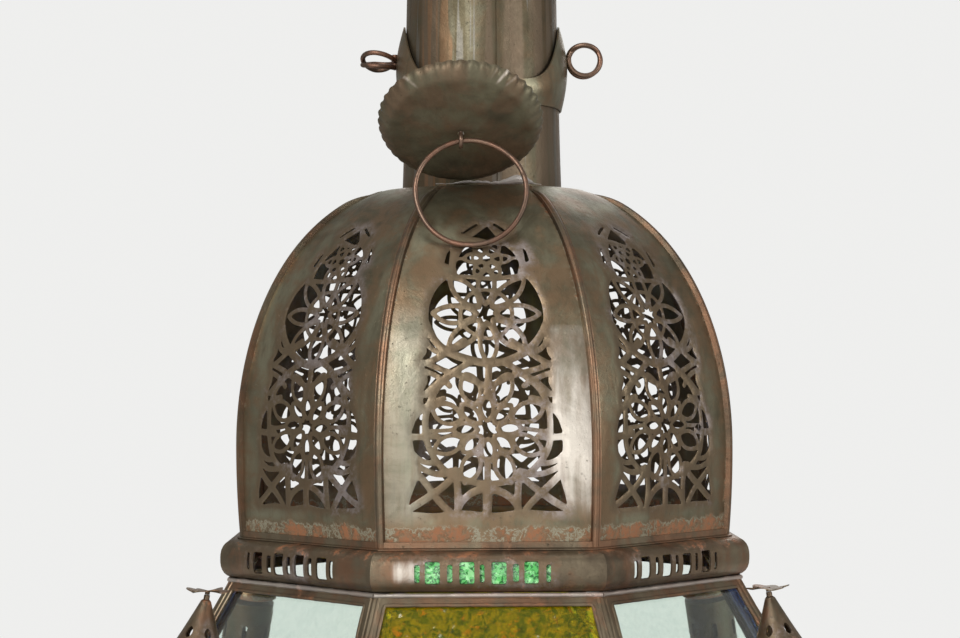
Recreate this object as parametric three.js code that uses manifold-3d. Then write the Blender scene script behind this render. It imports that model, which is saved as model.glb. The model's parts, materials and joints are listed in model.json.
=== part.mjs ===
// Hanging Moroccan lantern in aged sheet metal and coloured glass. Millimetres, +Z up, front towards -Y.
// An octagonal pierced dome with a round neck stands on a slotted ring moulding, a flaring glazed
// shoulder and a square glazed body whose sides spread downwards. Four turrets stand on its corners.
import * as THREE from 'three';
import { mergeVertices } from 'three/addons/utils/BufferGeometryUtils.js';
import Module from 'manifold-3d';

const wasm = await Module();
wasm.setup();

// General
const clearance = 0.3;

// Dome: eight curved gores between ribs
const domeFaceWidth = 110;
const domeBelly = 2.3;
const domeBellyHeight = 50;
const domeRise = 150.5;
const domeRoundness = 2.8;
const domeFacets = 5;
const domeSheet = 1;
const baseRingHeight = 4;
const baseRingDepth = 6;
const topRingHeight = 3;
const topRingOverlap = 6.3;
const topRingInset = 4.2;
const ribWidth = 4.2;
const ribProud = 0.8;
const ribDepth = 3.6;

// Filigree of the gores, measured along the curved face
const upperRosetteHeight = 125;
const upperRosetteRadius = 28.5;
const lowerRosetteHeight = 68;
const lowerRosetteRadius = 35;
const filigreeBar = 3.4;
const filigreeFoot = 19;
const filigreeFootHeight = 12;
const filigreeFootHalfWidth = 39;
const finialBase = 166;
const finialHeight = 14;

// Neck and what hangs on it
const neckFootRadius = 45.7;
const neckTopRadius = 42.6;
const neckHeight = 132;
const neckWall = 1;
const neckSides = 24;
const lapWidth = 8;
const lapHeight = 0.7;
const lapAngle = 0.26;
const capRise = 30;
const capOverhang = 5;
const capSheet = 1.2;
const capSides = 12;
const capEyeSeat = 7;
const hangingWire = 2.2;
const hangingEyeRadius = 9;
const hangingRingRadius = 26;

const collarFoot = 46;
const collarDip = 13;
const collarHorn = 36;
const collarSheet = 0.9;
const collarSideBulge = 4;
const collarFlare = 2.6;
const eyeletHeight = 29.2;
const eyeletWire = 1.45;
const eyeletRadius = 9.2;
const eyeletPitch = 3.6;
const eyeletHole = 1.9;
const eyeletStandOff = 1.9;

const hookSideways = -12.8;
const hookHeight = 8;
const hookReach = 5.6;
const hookWire = 1.15;
const hookHole = 1.75;
const lugThickness = 2;
const discRadius = 44;
const discFace = 37;
const discSkirt = 8;
const discCrown = 2.4;
const discSheet = 0.8;
const discFlutes = 18;
const discFluteDepth = 0.9;
const discTilt = THREE.MathUtils.degToRad(38);
const discHeight = 25.5;
const wireRingRadius = 29.5;
const wireRingWire = 1.4;
const wireRingOffset = 5;
const wireEyeRadius = 3.3;

// Ring moulding under the dome
const mouldingHeight = 21.2;
const mouldingBulge = 10.6;
const mouldingSheet = 1.2;
const mouldingFlat = 12.6;
const slotWide = 7.4;
const slotThin = 2.6;
const slotPitch = 8.3;
const slotWideHeight = 11.8;
const slotThinHeight = 9.4;
const slotShift = 3;
const stripThickness = 1.6;
const stripHeight = 15;

// Glazed shoulder
const shoulderLedge = 5.08;
const shoulderSpread = 45.6;
const shoulderHeight = 76;
const cameWidth = 6.5;
const cameWall = 4;
const cameLip = 3;
const lipThickness = 1.4;
const glassThickness = 2;

// Eaves plate and turrets
const eavesOverhang = 12;
const plateThickness = 1.5;
const turretInset = 40.74;
const turretLean = 0.16;
const turretRadius = 15;
const turretWall = 1;
const turretTopHeight = 44.3;
const turretSlots = 6;
const turretSlotWidth = 3;
const turretSlotHeight = 10;
const turretCapHeight = 33;
const turretCapTip = 2.2;
const turretCapLip = 1;
const turretCapHoles = 4;
const flowerRadius = 11;
const flowerPetals = 6;
const flowerThickness = 0.8;
const flowerStem = 1.4;

// Body, door and base
const bodyHeight = 215;
const bodyTopInset = 12;
const bodyWall = 5;
const bodyStile = 14;
const bodyRail = 14;
const bodyLip = 4;
const doorMargin = 35.34;
const doorGap = 1;
const doorStile = 11;
const hingeBarrel = 3;
const hingePin = 1.4;
const hingeBore = 1.75;
const hingeLength = 14;
const hingeLeaf = 12;
const hingeInset = 45;
const leafThickness = 1.2;
const latchLength = 26;
const latchWidth = 7;
const latchThickness = 1.6;
const latchPost = 1.5;
const knobRadius = 6;
const knobLength = 11;
const latchAboveKnob = 40;
const baseRise = 21;
const baseBulge = 10;
const baseSheet = 1.4;
const baseOverhang = 4;
const trayRadius = 44;
const trayRim = 7;
const traySheet = 1.2;
const cupRadius = 12.6;
const cupHeight = 26;
const cupWall = 1.2;

const halfSector = Math.PI / 8;
const vec = (x, y, z) => new THREE.Vector3(x, y, z);

// Finishes
const finish = (color, roughness, metalness, opacity = 1) =>
  new THREE.MeshStandardMaterial({ color, roughness, metalness, opacity, transparent: opacity < 1 });
const agedTin = finish('#6e6452', 0.55, 0.85);
const rustedTin = finish('#8a5d45', 0.65, 0.75);
const darkTin = finish('#5a5344', 0.55, 0.8);
const copperWire = finish('#8f5f48', 0.45, 0.9);
const yellowGlass = finish('#b08a12', 0.25, 0, 0.75);
const clearGlass = finish('#d5ded4', 0.1, 0, 0.35);
const blueGlass = finish('#3d4f86', 0.2, 0, 0.75);
const greenGlass = finish('#4fae5e', 0.3, 0, 0.85);

// Closed shapes and solids

// Turns a closed geometry so that its faces point outwards
function outward(geometry) {
  const position = geometry.attributes.position;
  const index = geometry.index.array;
  const [a, b, c] = [vec(), vec(), vec()];
  let volume = 0;
  for (let i = 0; i < index.length; i += 3) {
    a.fromBufferAttribute(position, index[i]);
    b.fromBufferAttribute(position, index[i + 1]);
    c.fromBufferAttribute(position, index[i + 2]);
    volume += a.dot(b.cross(c));
  }
  if (volume < 0) {
    for (let i = 0; i < index.length; i += 3) [index[i], index[i + 1]] = [index[i + 1], index[i]];
  }
  return geometry;
}

// Shares the vertices of a closed geometry and drops the faces that have shrunk to a line
function welded(geometry) {
  const plain = geometry.clone();
  plain.deleteAttribute('normal');
  plain.deleteAttribute('uv');
  const merged = mergeVertices(plain, 1e-4);
  const old = merged.index.array;
  const kept = [];
  for (let i = 0; i < old.length; i += 3) {
    const face = [old[i], old[i + 1], old[i + 2]];
    if (new Set(face).size === 3) kept.push(...face);
  }
  merged.setIndex(kept);
  return outward(merged);
}

function solid(geometry) {
  const closed = welded(geometry);
  return new wasm.Manifold(new wasm.Mesh({
    numProp: 3,
    vertProperties: new Float32Array(closed.attributes.position.array),
    triVerts: new Uint32Array(closed.index.array),
  }));
}

function geometryOf(manifold) {
  const mesh = manifold.getMesh();
  const geometry = new THREE.BufferGeometry();
  geometry.setAttribute('position', new THREE.BufferAttribute(new Float32Array(mesh.vertProperties), 3));
  geometry.setIndex(Array.from(mesh.triVerts));
  return geometry;
}

const joined = (...geometries) => geometries.map(solid).reduce((sum, next) => sum.add(next));
const cut = (body, tools) => tools.map(solid).reduce((rest, tool) => rest.subtract(tool), body);

// Skins a row of closed sections, each an array of the same number of points, and closes it
// with its end sections, or joins the last section to the first
function loft(sections, ring = false) {
  const count = sections[0].length;
  const points = sections.flat().flatMap((p) => [p.x, p.y, p.z]);
  const faces = [];
  const spans = ring ? sections.length : sections.length - 1;
  for (let i = 0; i < spans; i += 1) {
    const here = i * count;
    const there = ((i + 1) % sections.length) * count;
    for (let k = 0; k < count; k += 1) {
      const next = (k + 1) % count;
      faces.push(here + k, here + next, there + next, here + k, there + next, there + k);
    }
  }
  if (!ring) {
    const last = (sections.length - 1) * count;
    for (let k = 1; k < count - 1; k += 1) {
      faces.push(0, k + 1, k);
      faces.push(last, last + k, last + k + 1);
    }
  }
  const geometry = new THREE.BufferGeometry();
  geometry.setAttribute('position', new THREE.Float32BufferAttribute(points, 3));
  geometry.setIndex(faces);
  return outward(geometry);
}

// Revolves a closed outline of [radius, height] pairs round Z. With few sides it makes a prism
// or pyramid whose corners lie at the given radii.
function revolve(outline, sides, phase = 0) {
  const points = outline.map(([radius, height]) => new THREE.Vector2(radius, height));
  if (points[0].x > 0 || points.at(-1).x > 0) points.push(points[0].clone());
  return welded(new THREE.LatheGeometry(points, sides, phase, Math.PI * 2).rotateX(Math.PI / 2));
}

// Plate of an outline of [x, y] pairs, from z = low to z = high
function plate(outline, low, high) {
  const shape = new THREE.Shape(outline.map(([x, y]) => new THREE.Vector2(x, y)));
  const depth = high - low;
  return new THREE.ExtrudeGeometry(shape, { depth, bevelEnabled: false }).translate(0, 0, low);
}

const block = (width, depth, height) => new THREE.BoxGeometry(width, depth, height);

// Round bar along a curve
function bar(curve, radius, steps, sides = 6) {
  const section = new THREE.Shape();
  for (let k = 0; k < sides; k += 1) {
    const turn = (k / sides) * Math.PI * 2;
    section[k ? 'lineTo' : 'moveTo'](radius * Math.cos(turn), radius * Math.sin(turn));
  }
  return new THREE.ExtrudeGeometry(section, { steps, extrudePath: curve, bevelEnabled: false });
}

const rod = (from, to, radius, sides = 8) => bar(new THREE.LineCurve3(from, to), radius, 1, sides);

const lantern = new THREE.Group();

function add(parent, name, shape, material) {
  const geometry = shape.isBufferGeometry ? shape : geometryOf(shape);
  geometry.computeVertexNormals();
  const mesh = new THREE.Mesh(geometry, material);
  mesh.name = name;
  parent.add(mesh);
  return mesh;
}

function level(height) {
  const group = new THREE.Group();
  group.position.z = height;
  lantern.add(group);
  return group;
}

// Levels of the stack, from the surface that the lantern stands on
const baseMouldingFoot = plateThickness + clearance;
const bodyFoot = baseMouldingFoot + baseRise + clearance;
const eavesFoot = bodyFoot + bodyHeight + clearance;
const shoulderFoot = eavesFoot + plateThickness + clearance;
const mouldingFoot = shoulderFoot + shoulderHeight + clearance;
const domeFoot = mouldingFoot + mouldingHeight + clearance;

// Dome

const domeBaseRadius = domeFaceWidth / 2 / Math.sin(halfSector);
const domeMaxRadius = domeBaseRadius + domeBelly;

// Radius of the dome's corners at a height: a slight belly below, a superellipse above
function domeRadius(height) {
  if (height < domeBellyHeight) return domeMaxRadius - domeBelly * (1 - height / domeBellyHeight) ** 2;
  return domeMaxRadius * (1 - ((height - domeBellyHeight) / domeRise) ** 2) ** (1 / domeRoundness);
}

const domeHeightAt = (radius) =>
  domeBellyHeight + domeRise * Math.sqrt(1 - (radius / domeMaxRadius) ** domeRoundness);

const domeTopRadius = (neckFootRadius + 2 * clearance) / Math.cos(halfSector);
const domeTop = domeHeightAt(domeTopRadius);

// Heights at which the gores and ribs bend, closer together towards the top
function domeHeights(foot) {
  const steepest = Math.asin((domeTop - domeBellyHeight) / domeRise);
  const upper = Array.from({ length: domeFacets + 1 }, (_, i) =>
    domeBellyHeight + domeRise * Math.sin((steepest * i) / domeFacets));
  return [foot, ...upper];
}

// Profile points with the outward direction at each, in the plane of radius and height
function profile(heights, radiusAt) {
  const points = heights.map((height) => new THREE.Vector2(radiusAt(height), height));
  return points.map((point, i) => {
    const before = points[Math.max(i - 1, 0)];
    const after = points[Math.min(i + 1, points.length - 1)];
    const along = after.clone().sub(before).normalize();
    return { point, normal: new THREE.Vector2(along.y, -along.x) };
  });
}

const goreProfile = profile(
  domeHeights(baseRingHeight + clearance),
  (height) => domeRadius(height) * Math.cos(halfSector),
);

// Point of the front gore: u sideways, s along the face from its foot, t outwards
function onGore(u, s, t) {
  let start = 0;
  let i = 0;
  let length = goreProfile[1].point.distanceTo(goreProfile[0].point);
  while (i < goreProfile.length - 2 && s > start + length) {
    start += length;
    i += 1;
    length = goreProfile[i + 1].point.distanceTo(goreProfile[i].point);
  }
  const share = (s - start) / length;
  const point = goreProfile[i].point.clone().lerp(goreProfile[i + 1].point, share);
  const normal = goreProfile[i].normal.clone().lerp(goreProfile[i + 1].normal, share).normalize();
  return vec(u, -(point.x + normal.x * t), point.y + normal.y * t);
}

// Cells of the filigree, as outlines of [u, s] pairs

// Triangle with its tip at one distance from the rosette's centre and its base at another
function wedge(centre, turn, tip, base, halfTurn) {
  const place = (reach, angle) => [reach * Math.sin(angle), centre + reach * Math.cos(angle)];
  return [place(tip, turn), place(base, turn + halfTurn), place(base, turn - halfTurn)];
}

// One rosette: an eye in the middle, petals that widen from it and spandrels inside the rim
function rosette(centre, radius, petals) {
  const rim = radius - filigreeBar / 2;
  const sector = (Math.PI * 2) / petals;
  const eye = radius * 0.14;
  const cells = [[[0, centre - eye], [eye, centre], [0, centre + eye], [-eye, centre]]];
  for (let k = 0; k < petals; k += 1) {
    const turn = k * sector;
    cells.push(wedge(centre, turn, radius * 0.27, radius * 0.6, sector * 0.36));
    cells.push(wedge(centre, turn + sector / 2, radius * 0.64, rim, sector * 0.38));
  }
  return cells;
}

const mirrored = (cell) => cell.map(([u, s]) => [-u, s]).reverse();

// Row of triangles and half arches under the lower rosette
function footCells() {
  const low = filigreeFoot;
  const high = filigreeFoot + filigreeFootHeight;
  const side = filigreeFootHalfWidth;
  const halfArch = [[filigreeBar / 2, low], [side * 0.3, low], [filigreeBar / 2, high - 1]];
  const down = [[side * 0.2, high + 1], [side * 0.43, low + 1.5], [side * 0.52, high]];
  const up = [[side * 0.54, low], [side * 0.88, low], [side * 0.71, high - 3]];
  return [halfArch, down, up].flatMap((cell) => [cell, mirrored(cell)]);
}

// Slits and triangles above the upper rosette, which close the filigree like a small roof
function finialCells() {
  const top = finialBase + finialHeight;
  const roof = [[-6.5, finialBase], [6.5, finialBase], [0, top - 4.5]];
  const slit = [[3, top + 1], [12.5, top - 9.5], [3, top - 2.2]];
  const flank = [[8.5, finialBase - 9], [15.5, finialBase - 12], [13.5, finialBase - 2]];
  return [roof, ...[slit, flank].flatMap((cell) => [cell, mirrored(cell)])];
}

// Diamonds in the gaps beside the place where the two rosettes meet
function waistCells() {
  const height = (upperRosetteHeight - upperRosetteRadius + lowerRosetteHeight + lowerRosetteRadius) / 2;
  const diamond = [[15, height], [20, height - 3.6], [25, height + 0.5], [20, height + 4.4]];
  return [diamond, mirrored(diamond)];
}

function filigreeCells() {
  const clear = upperRosetteRadius + filigreeBar / 2;
  const outsideUpper = (cell) =>
    cell.every(([u, s]) => Math.hypot(u, s - upperRosetteHeight) > clear);
  return [
    ...rosette(upperRosetteHeight, upperRosetteRadius, 8),
    ...rosette(lowerRosetteHeight, lowerRosetteRadius, 8).filter(outsideUpper),
    ...footCells(),
    ...waistCells(),
    ...finialCells(),
  ];
}

// Straight prism through the curved sheet with the outline of one cell
function cellCutter(cell) {
  const reach = 5;
  const footRise = baseRingHeight + clearance;
  const outline = cell.map(([u, s]) => onGore(u, s - footRise, 0));
  const middle = cell.reduce((sum, [, s]) => sum + s, 0) / cell.length - footRise;
  const out = onGore(0, middle, reach).sub(onGore(0, middle, 0));
  return loft([outline.map((p) => p.clone().sub(out)), outline.map((p) => p.clone().add(out))]);
}

function dome() {
  const group = level(domeFoot);
  const seam = ribWidth / 2 + clearance;
  const sheetSection = ({ point, normal }) => {
    const inner = point.clone().addScaledVector(normal, -domeSheet);
    const half = (inner.x * Math.tan(halfSector)) - seam / Math.cos(halfSector);
    return [
      vec(half, -point.x, point.y), vec(-half, -point.x, point.y),
      vec(-half, -inner.x, inner.y), vec(half, -inner.x, inner.y),
    ];
  };
  const gore = geometryOf(cut(solid(loft(goreProfile.map(sheetSection))), filigreeCells().map(cellCutter)));
  for (let k = 0; k < 8; k += 1) {
    add(group, `dome_panel_${k + 1}`, gore.clone(), agedTin).rotation.z = k * 2 * halfSector;
  }

  const ribSection = ({ point, normal }) => {
    const outer = point.clone().addScaledVector(normal, ribProud);
    const inner = point.clone().addScaledVector(normal, -ribDepth);
    return [
      vec(ribWidth / 2, -outer.x, outer.y), vec(-ribWidth / 2, -outer.x, outer.y),
      vec(-ribWidth / 2, -inner.x, inner.y), vec(ribWidth / 2, -inner.x, inner.y),
    ];
  };
  const rib = loft(profile(domeHeights(0), domeRadius).map(ribSection));
  const ribs = Array.from({ length: 8 }, (_, k) => rib.clone().rotateZ((2 * k + 1) * halfSector));
  const baseRing = revolve([
    [domeBaseRadius - baseRingDepth, 0], [domeBaseRadius + ribProud, 0],
    [domeBaseRadius + ribProud, baseRingHeight], [domeBaseRadius - baseRingDepth, baseRingHeight],
  ], 8, halfSector);
  const ringInner = neckFootRadius - topRingInset;
  const ringOuter = neckFootRadius + topRingOverlap;
  const topRing = (grow) => revolve([
    [ringInner - grow, topRingTop - topRingHeight - grow], [ringOuter + grow, topRingTop - topRingHeight - grow],
    [ringOuter + grow, topRingTop + grow], [ringInner - grow, topRingTop + grow],
  ], 20);
  add(group, 'dome_top_ring', welded(topRing(0)), rustedTin);
  // The ribs' heads lie over the top ring
  add(group, 'dome_frame', cut(joined(baseRing, ...ribs), [topRing(clearance)]), rustedTin);
}

// The top ring lies just under the gores and carries the neck
const topRingTop = domeHeightAt((neckFootRadius + topRingOverlap) / Math.cos(halfSector))
  - domeSheet * 2 - clearance;

// Neck

const neckFoot = domeFoot + topRingTop + clearance;
const neckRadius = (height) =>
  neckFootRadius + (neckTopRadius - neckFootRadius) * (height / neckHeight);

function neck() {
  const group = level(neckFoot);
  const tube = revolve([
    [neckFootRadius - neckWall, 0], [neckFootRadius, 0],
    [neckTopRadius, neckHeight], [neckTopRadius - neckWall, neckHeight],
  ], neckSides);
  const lapSection = (height) => {
    const radius = neckRadius(height);
    const sink = neckWall / 2;
    return [
      vec(lapWidth / 2, -radius + sink, height), vec(-lapWidth / 2, -radius + sink, height),
      vec(-lapWidth / 2, -radius - lapHeight, height), vec(lapWidth / 2, -radius + 0.1, height),
    ];
  };
  // The lap is dressed flat where the collar passes over it
  const laps = [[0, collarFoot - 1], [collarFoot + collarDip + 1, neckHeight - 3]].map(([from, to]) =>
    loft([lapSection(from), lapSection(to)]).rotateZ(lapAngle));
  add(group, 'neck_tube', joined(tube, ...laps), agedTin);

  // The cap's underside rests on the rim of the tube, a clearance away from it
  const rim = neckTopRadius + capOverhang;
  const steepness = (capRise - capSheet) / (rim - capSheet - capEyeSeat);
  const seatRadius = neckTopRadius / Math.cos(Math.PI / capSides);
  const capFoot = neckHeight + clearance * Math.hypot(1, steepness) - (rim - capSheet - seatRadius) * steepness;
  const cap = revolve([
    [0, capFoot + capRise - capSheet], [capEyeSeat, capFoot + capRise - capSheet], [rim - capSheet, capFoot],
    [rim, capFoot], [rim, capFoot + capSheet], [capEyeSeat, capFoot + capRise], [0, capFoot + capRise],
  ], capSides);
  const vents = Array.from({ length: 4 }, (_, k) =>
    rod(vec(0, 0, capFoot + capRise * 0.6), vec(rim, 0, capFoot + capRise * 0.6), 3, 6)
      .rotateZ(((k + 0.5) * Math.PI) / 2));
  const eyeHole = rod(vec(0, 0, capFoot), vec(0, 0, capFoot + capRise * 2), hangingWire + clearance, 10);
  add(group, 'neck_cap', cut(solid(cap), [...vents, eyeHole]), agedTin);

  const seat = capFoot + capRise + clearance;
  const eyeCentre = seat + hangingWire + hangingEyeRadius;
  const eye = new THREE.TorusGeometry(hangingEyeRadius, hangingWire, 5, 12).rotateX(Math.PI / 2)
    .translate(0, 0, eyeCentre);
  const under = capFoot + capRise - capSheet - clearance;
  const shank = rod(vec(0, 0, under - 4), vec(0, 0, seat + 2 * hangingWire), hangingWire, 8);
  const collarPlate = rod(vec(0, 0, seat), vec(0, 0, seat + 1.5), capEyeSeat - 1, 12);
  const nut = rod(vec(0, 0, under - 3), vec(0, 0, under), 2 * hangingWire, 6);
  add(group, 'hanging_eye', joined(eye, shank, collarPlate, nut), darkTin);

  const drop = hangingEyeRadius - 2 * hangingWire - clearance;
  const ring = new THREE.TorusGeometry(hangingRingRadius, hangingWire, 5, 20).rotateY(Math.PI / 2);
  ring.translate(0, 0, hangingRingRadius + eyeCentre + drop);
  add(group, 'hanging_ring', welded(ring), darkTin);
}

// Collar: a band round the neck, drawn out into a horn at each side

function collarSection(turn) {
  const side = Math.abs(Math.sin(turn));
  const rise = collarDip + collarHorn * side ** 6;
  const levels = [0, 0.3, 0.65, 1];
  const radiusAt = (share) => neckRadius(collarFoot + rise * share) + clearance
    + collarSideBulge * side ** 2 * Math.sin(Math.PI * share) + collarFlare * share * (1 - side ** 6);
  const place = (radius, share) =>
    vec(radius * Math.sin(turn), -radius * Math.cos(turn), collarFoot + rise * share);
  return [
    ...levels.map((share) => place(radiusAt(share) + collarSheet, share)),
    ...levels.map((share) => place(radiusAt(share), share)).reverse(),
  ];
}

const hookAcross = -Math.sqrt(neckRadius(collarFoot) ** 2 - hookSideways ** 2) - hookReach;
const hook = vec(hookSideways, hookAcross, collarFoot + hookHeight);

function collar() {
  const group = level(neckFoot);
  const sections = Array.from({ length: neckSides }, (_, i) => collarSection((i / neckSides) * Math.PI * 2));
  const band = loft(sections, true);
  const lug = block(lugThickness, hookReach + 4.5, 8)
    .translate(hook.x, hook.y + (hookReach + 4.5) / 2 - 3.4, hook.z);
  const neckClear = revolve([
    [0, -1], [neckRadius(0) + clearance, -1], [neckRadius(neckHeight) + clearance, neckHeight], [0, neckHeight],
  ], neckSides);
  const lugHole = rod(vec(hook.x - 5, hook.y, hook.z), vec(hook.x + 5, hook.y, hook.z), hookHole, 8);
  const reach = neckFootRadius * 2;
  const eyeletHoles = rod(vec(-reach, 0, eyeletAxis), vec(reach, 0, eyeletAxis), eyeletHole, 8);
  const withLug = solid(band).add(solid(lug).subtract(solid(neckClear)));
  add(group, 'neck_collar', cut(withLug, [lugHole, eyeletHoles]), agedTin);
}

const eyeletAxis = collarFoot + eyeletHeight;

// Eyelet: two turns of wire on a shank that passes through the collar, with a head behind it
function eyelet(name, side, turned) {
  const group = level(neckFoot);
  const sideSection = collarSection(Math.PI / 2);
  const wall = Math.max(...sideSection.map((p) => p.x));
  const inside = neckRadius(eyeletAxis) + 2 * clearance;
  const near = wall + eyeletStandOff;
  const centre = near + eyeletRadius;
  const turns = 2;
  const steps = 9 * turns;
  const coil = Array.from({ length: steps + 1 }, (_, i) => {
    const angle = Math.PI + (i / steps) * turns * Math.PI * 2;
    const forward = eyeletPitch * ((i / steps) * turns - turns / 2);
    return vec(centre + eyeletRadius * Math.cos(angle), forward, eyeletRadius * Math.sin(angle));
  });
  const loop = bar(new THREE.CatmullRomCurve3(coil), eyeletWire, steps, 5);
  const shank = rod(vec(inside, 0, 0), vec(near + 0.5, 0, 0), eyeletWire, 8);
  const foot = rod(vec(near, -eyeletPitch - 0.5, 0), vec(near, eyeletPitch + 0.5, 0), eyeletWire * 1.05, 8);
  const head = rod(vec(inside, 0, 0), vec(inside + 1.1, 0, 0), eyeletHole + 0.9, 8);
  const mesh = add(group, name, joined(loop, shank, foot, head), copperWire);
  mesh.position.z = eyeletAxis;
  mesh.rotation.set(turned, 0, side < 0 ? Math.PI : 0);
}

// Crimped disc on its wire, and the wire ring in the wire's eye

const discNormal = vec(0, -Math.sin(discTilt), -Math.cos(discTilt));
const discUp = vec(0, -Math.cos(discTilt), Math.sin(discTilt));
// The lower back edge of the skirt leans on the neck, a clearance away from it
const skirtReach = (discRadius + discFluteDepth) * Math.cos(discTilt) + (discSkirt + discSheet) * Math.sin(discTilt);
const discCentre = vec(hookSideways, -neckFootRadius - 2 * clearance - skirtReach, discHeight);
// Eye at the end of the disc's wire
const wireEye = discCentre.clone().addScaledVector(discNormal, discCrown + wireEyeRadius + 2 * clearance + hookWire);

// Gap between a point in front of the dome and the front gore
function gapToGore(out, height) {
  return Math.max(...goreProfile.slice(1).map(({ point }, i) => {
    const from = goreProfile[i].point;
    const along = point.clone().sub(from).normalize();
    return (out - from.x) * along.y - (height - from.y) * along.x;
  }));
}

// Angle at which the wire ring leans on the dome, a clearance away from it
function ringLean() {
  const reach = Math.sqrt(wireRingRadius ** 2 - wireRingOffset ** 2);
  const gap = (down, lean) => gapToGore(
    -wireEye.y - down * Math.sin(lean), neckFoot - domeFoot + wireEye.z + down * Math.cos(lean));
  const clears = (lean) => Array.from({ length: 60 }, (_, i) =>
    gap(-reach + wireRingRadius * Math.sin((i * Math.PI) / 30), lean)).every((free) => free > wireRingWire + clearance);
  let lean = 0;
  while (!clears(lean) && lean < Math.PI / 2) lean += 0.001;
  return lean;
}

// Cap with a crowned face and a fluted skirt, made round Z with its face up
function discShape() {
  const outline = [
    [hookHole + 0.1, discCrown], [discFace, 0], [discRadius, -discSkirt],
    [discRadius - discSheet, -discSkirt], [discFace - discSheet * 0.6, -discSheet],
    [hookHole + 0.1, discCrown - discSheet],
  ];
  const disc = revolve(outline, discFlutes * 2);
  const position = disc.attributes.position;
  for (let i = 0; i < position.count; i += 1) {
    const [x, y] = [position.getX(i), position.getY(i)];
    const radius = Math.hypot(x, y);
    const skirt = THREE.MathUtils.clamp((radius - discFace) / (discRadius - discFace), 0, 1);
    const wave = 1 + (skirt * discFluteDepth * Math.cos(discFlutes * Math.atan2(y, x))) / radius;
    position.setXYZ(i, x * wave, y * wave, position.getZ(i));
  }
  return disc;
}

function hangingDisc() {
  const group = level(neckFoot);
  const disc = add(group, 'crimped_disc', discShape(), darkTin);
  const basis = new THREE.Matrix4().makeBasis(vec(1, 0, 0), discNormal.clone().cross(vec(1, 0, 0)), discNormal);
  disc.quaternion.setFromRotationMatrix(basis);
  disc.position.copy(discCentre);

  const behind = discCentre.clone().addScaledVector(discNormal, -discSkirt - 3);
  const front = discCentre.clone().addScaledVector(discNormal, discCrown + hookWire);
  const aside = lugThickness / 2 + 2;
  const start = hook.clone().add(vec(-aside - 1, 0, 0));
  const elbow = hook.clone().add(vec(aside, 0, 0));
  const drop = elbow.clone().add(vec(-1, -7, -2));
  const wire = bar(new THREE.CatmullRomCurve3([start, hook, elbow, drop, behind, front], false, 'centripetal'),
    hookWire, 15, 5);
  const eye = new THREE.TorusGeometry(wireEyeRadius, hookWire, 5, 10).rotateY(Math.PI / 2)
    .translate(wireEye.x, wireEye.y, wireEye.z);
  const end = rod(behind, discCentre.clone().addScaledVector(discNormal, discCrown + hookWire + 0.8), hookWire, 6);
  add(group, 'disc_hanger', joined(wire, eye, end), copperWire);

  const ring = new THREE.TorusGeometry(wireRingRadius, wireRingWire, 5, 20).rotateX(Math.PI / 2);
  ring.translate(wireRingOffset, 0, -Math.sqrt(wireRingRadius ** 2 - wireRingOffset ** 2));
  const hung = add(group, 'wire_ring', welded(ring), copperWire);
  hung.position.copy(wireEye);
  hung.rotation.x = -ringLean();
}

// Octagonal half-round moulding with a slot row in each face, and the green glass behind the front one

function mouldingOutline(radius, bulge, height, flat, sheet) {
  const half = height / 2;
  const edge = (half + flat / 2) / 2;
  const outer = [[0, -half], [bulge * 0.62, -edge - 0.6], [bulge, -flat / 2],
    [bulge, flat / 2], [bulge * 0.62, edge + 0.6], [0, half]];
  const inner = [[0, half - sheet], [bulge * 0.62 - sheet, edge + 0.6 - sheet], [bulge - sheet, flat / 2],
    [bulge - sheet, -flat / 2], [bulge * 0.62 - sheet, -edge - 0.6 + sheet], [0, -half + sheet]];
  return [...outer, ...inner].map(([out, up]) => [radius + out, half + up]);
}

const mouldingRadius = domeBaseRadius + ribProud;

function ringMoulding() {
  const group = level(mouldingFoot);
  const outline = mouldingOutline(mouldingRadius, mouldingBulge, mouldingHeight, mouldingFlat, mouldingSheet);
  const faceAt = (mouldingRadius + mouldingBulge) * Math.cos(halfSector);
  const slots = [];
  for (let k = 0; k < 8; k += 1) {
    for (let i = -4; i <= 4; i += 1) {
      const wide = i % 2 !== 0;
      const slot = block(wide ? slotWide : slotThin, 8, wide ? slotWideHeight : slotThinHeight);
      slot.translate(i * slotPitch - slotShift, -faceAt, mouldingHeight / 2);
      slots.push(slot.rotateZ(k * 2 * halfSector));
    }
  }
  add(group, 'ring_moulding', cut(solid(revolve(outline, 8, halfSector)), slots), rustedTin);

  const back = faceAt - mouldingSheet - clearance - stripThickness / 2;
  const strip = block(domeFaceWidth * 0.86, stripThickness, stripHeight - 2 * mouldingSheet);
  add(group, 'green_glass_strip', welded(strip.translate(-slotShift, -back, mouldingHeight / 2)), greenGlass);
}

// Glazed frustums: the shoulder with eight panes and the body with four walls

// Face of a frustum, seen from outside: u sideways, v up the slope, t outwards
function frustumFace(frustum) {
  const flat = Math.cos(Math.PI / frustum.sides);
  const foot = frustum.footRadius * flat;
  const top = frustum.topRadius * flat;
  const slope = Math.atan2(foot - top, frustum.height);
  const length = frustum.height / Math.cos(slope);
  return {
    length,
    halfWidth: (v) => (foot + ((top - foot) * v) / length) * Math.tan(Math.PI / frustum.sides),
    place: new THREE.Matrix4().makeBasis(
      vec(1, 0, 0), vec(0, Math.sin(slope), Math.cos(slope)), vec(0, -Math.cos(slope), Math.sin(slope)),
    ).setPosition(0, -foot, 0),
  };
}

function frustumShell(frustum) {
  const { sides, footRadius, topRadius, height, wall } = frustum;
  const flat = Math.cos(Math.PI / sides);
  const slope = Math.atan2((footRadius - topRadius) * flat, height);
  const across = wall / Math.cos(slope) / flat;
  return solid(revolve([
    [footRadius - across, 0], [footRadius, 0], [topRadius, height], [topRadius - across, height],
  ], sides, Math.PI / sides));
}

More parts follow.
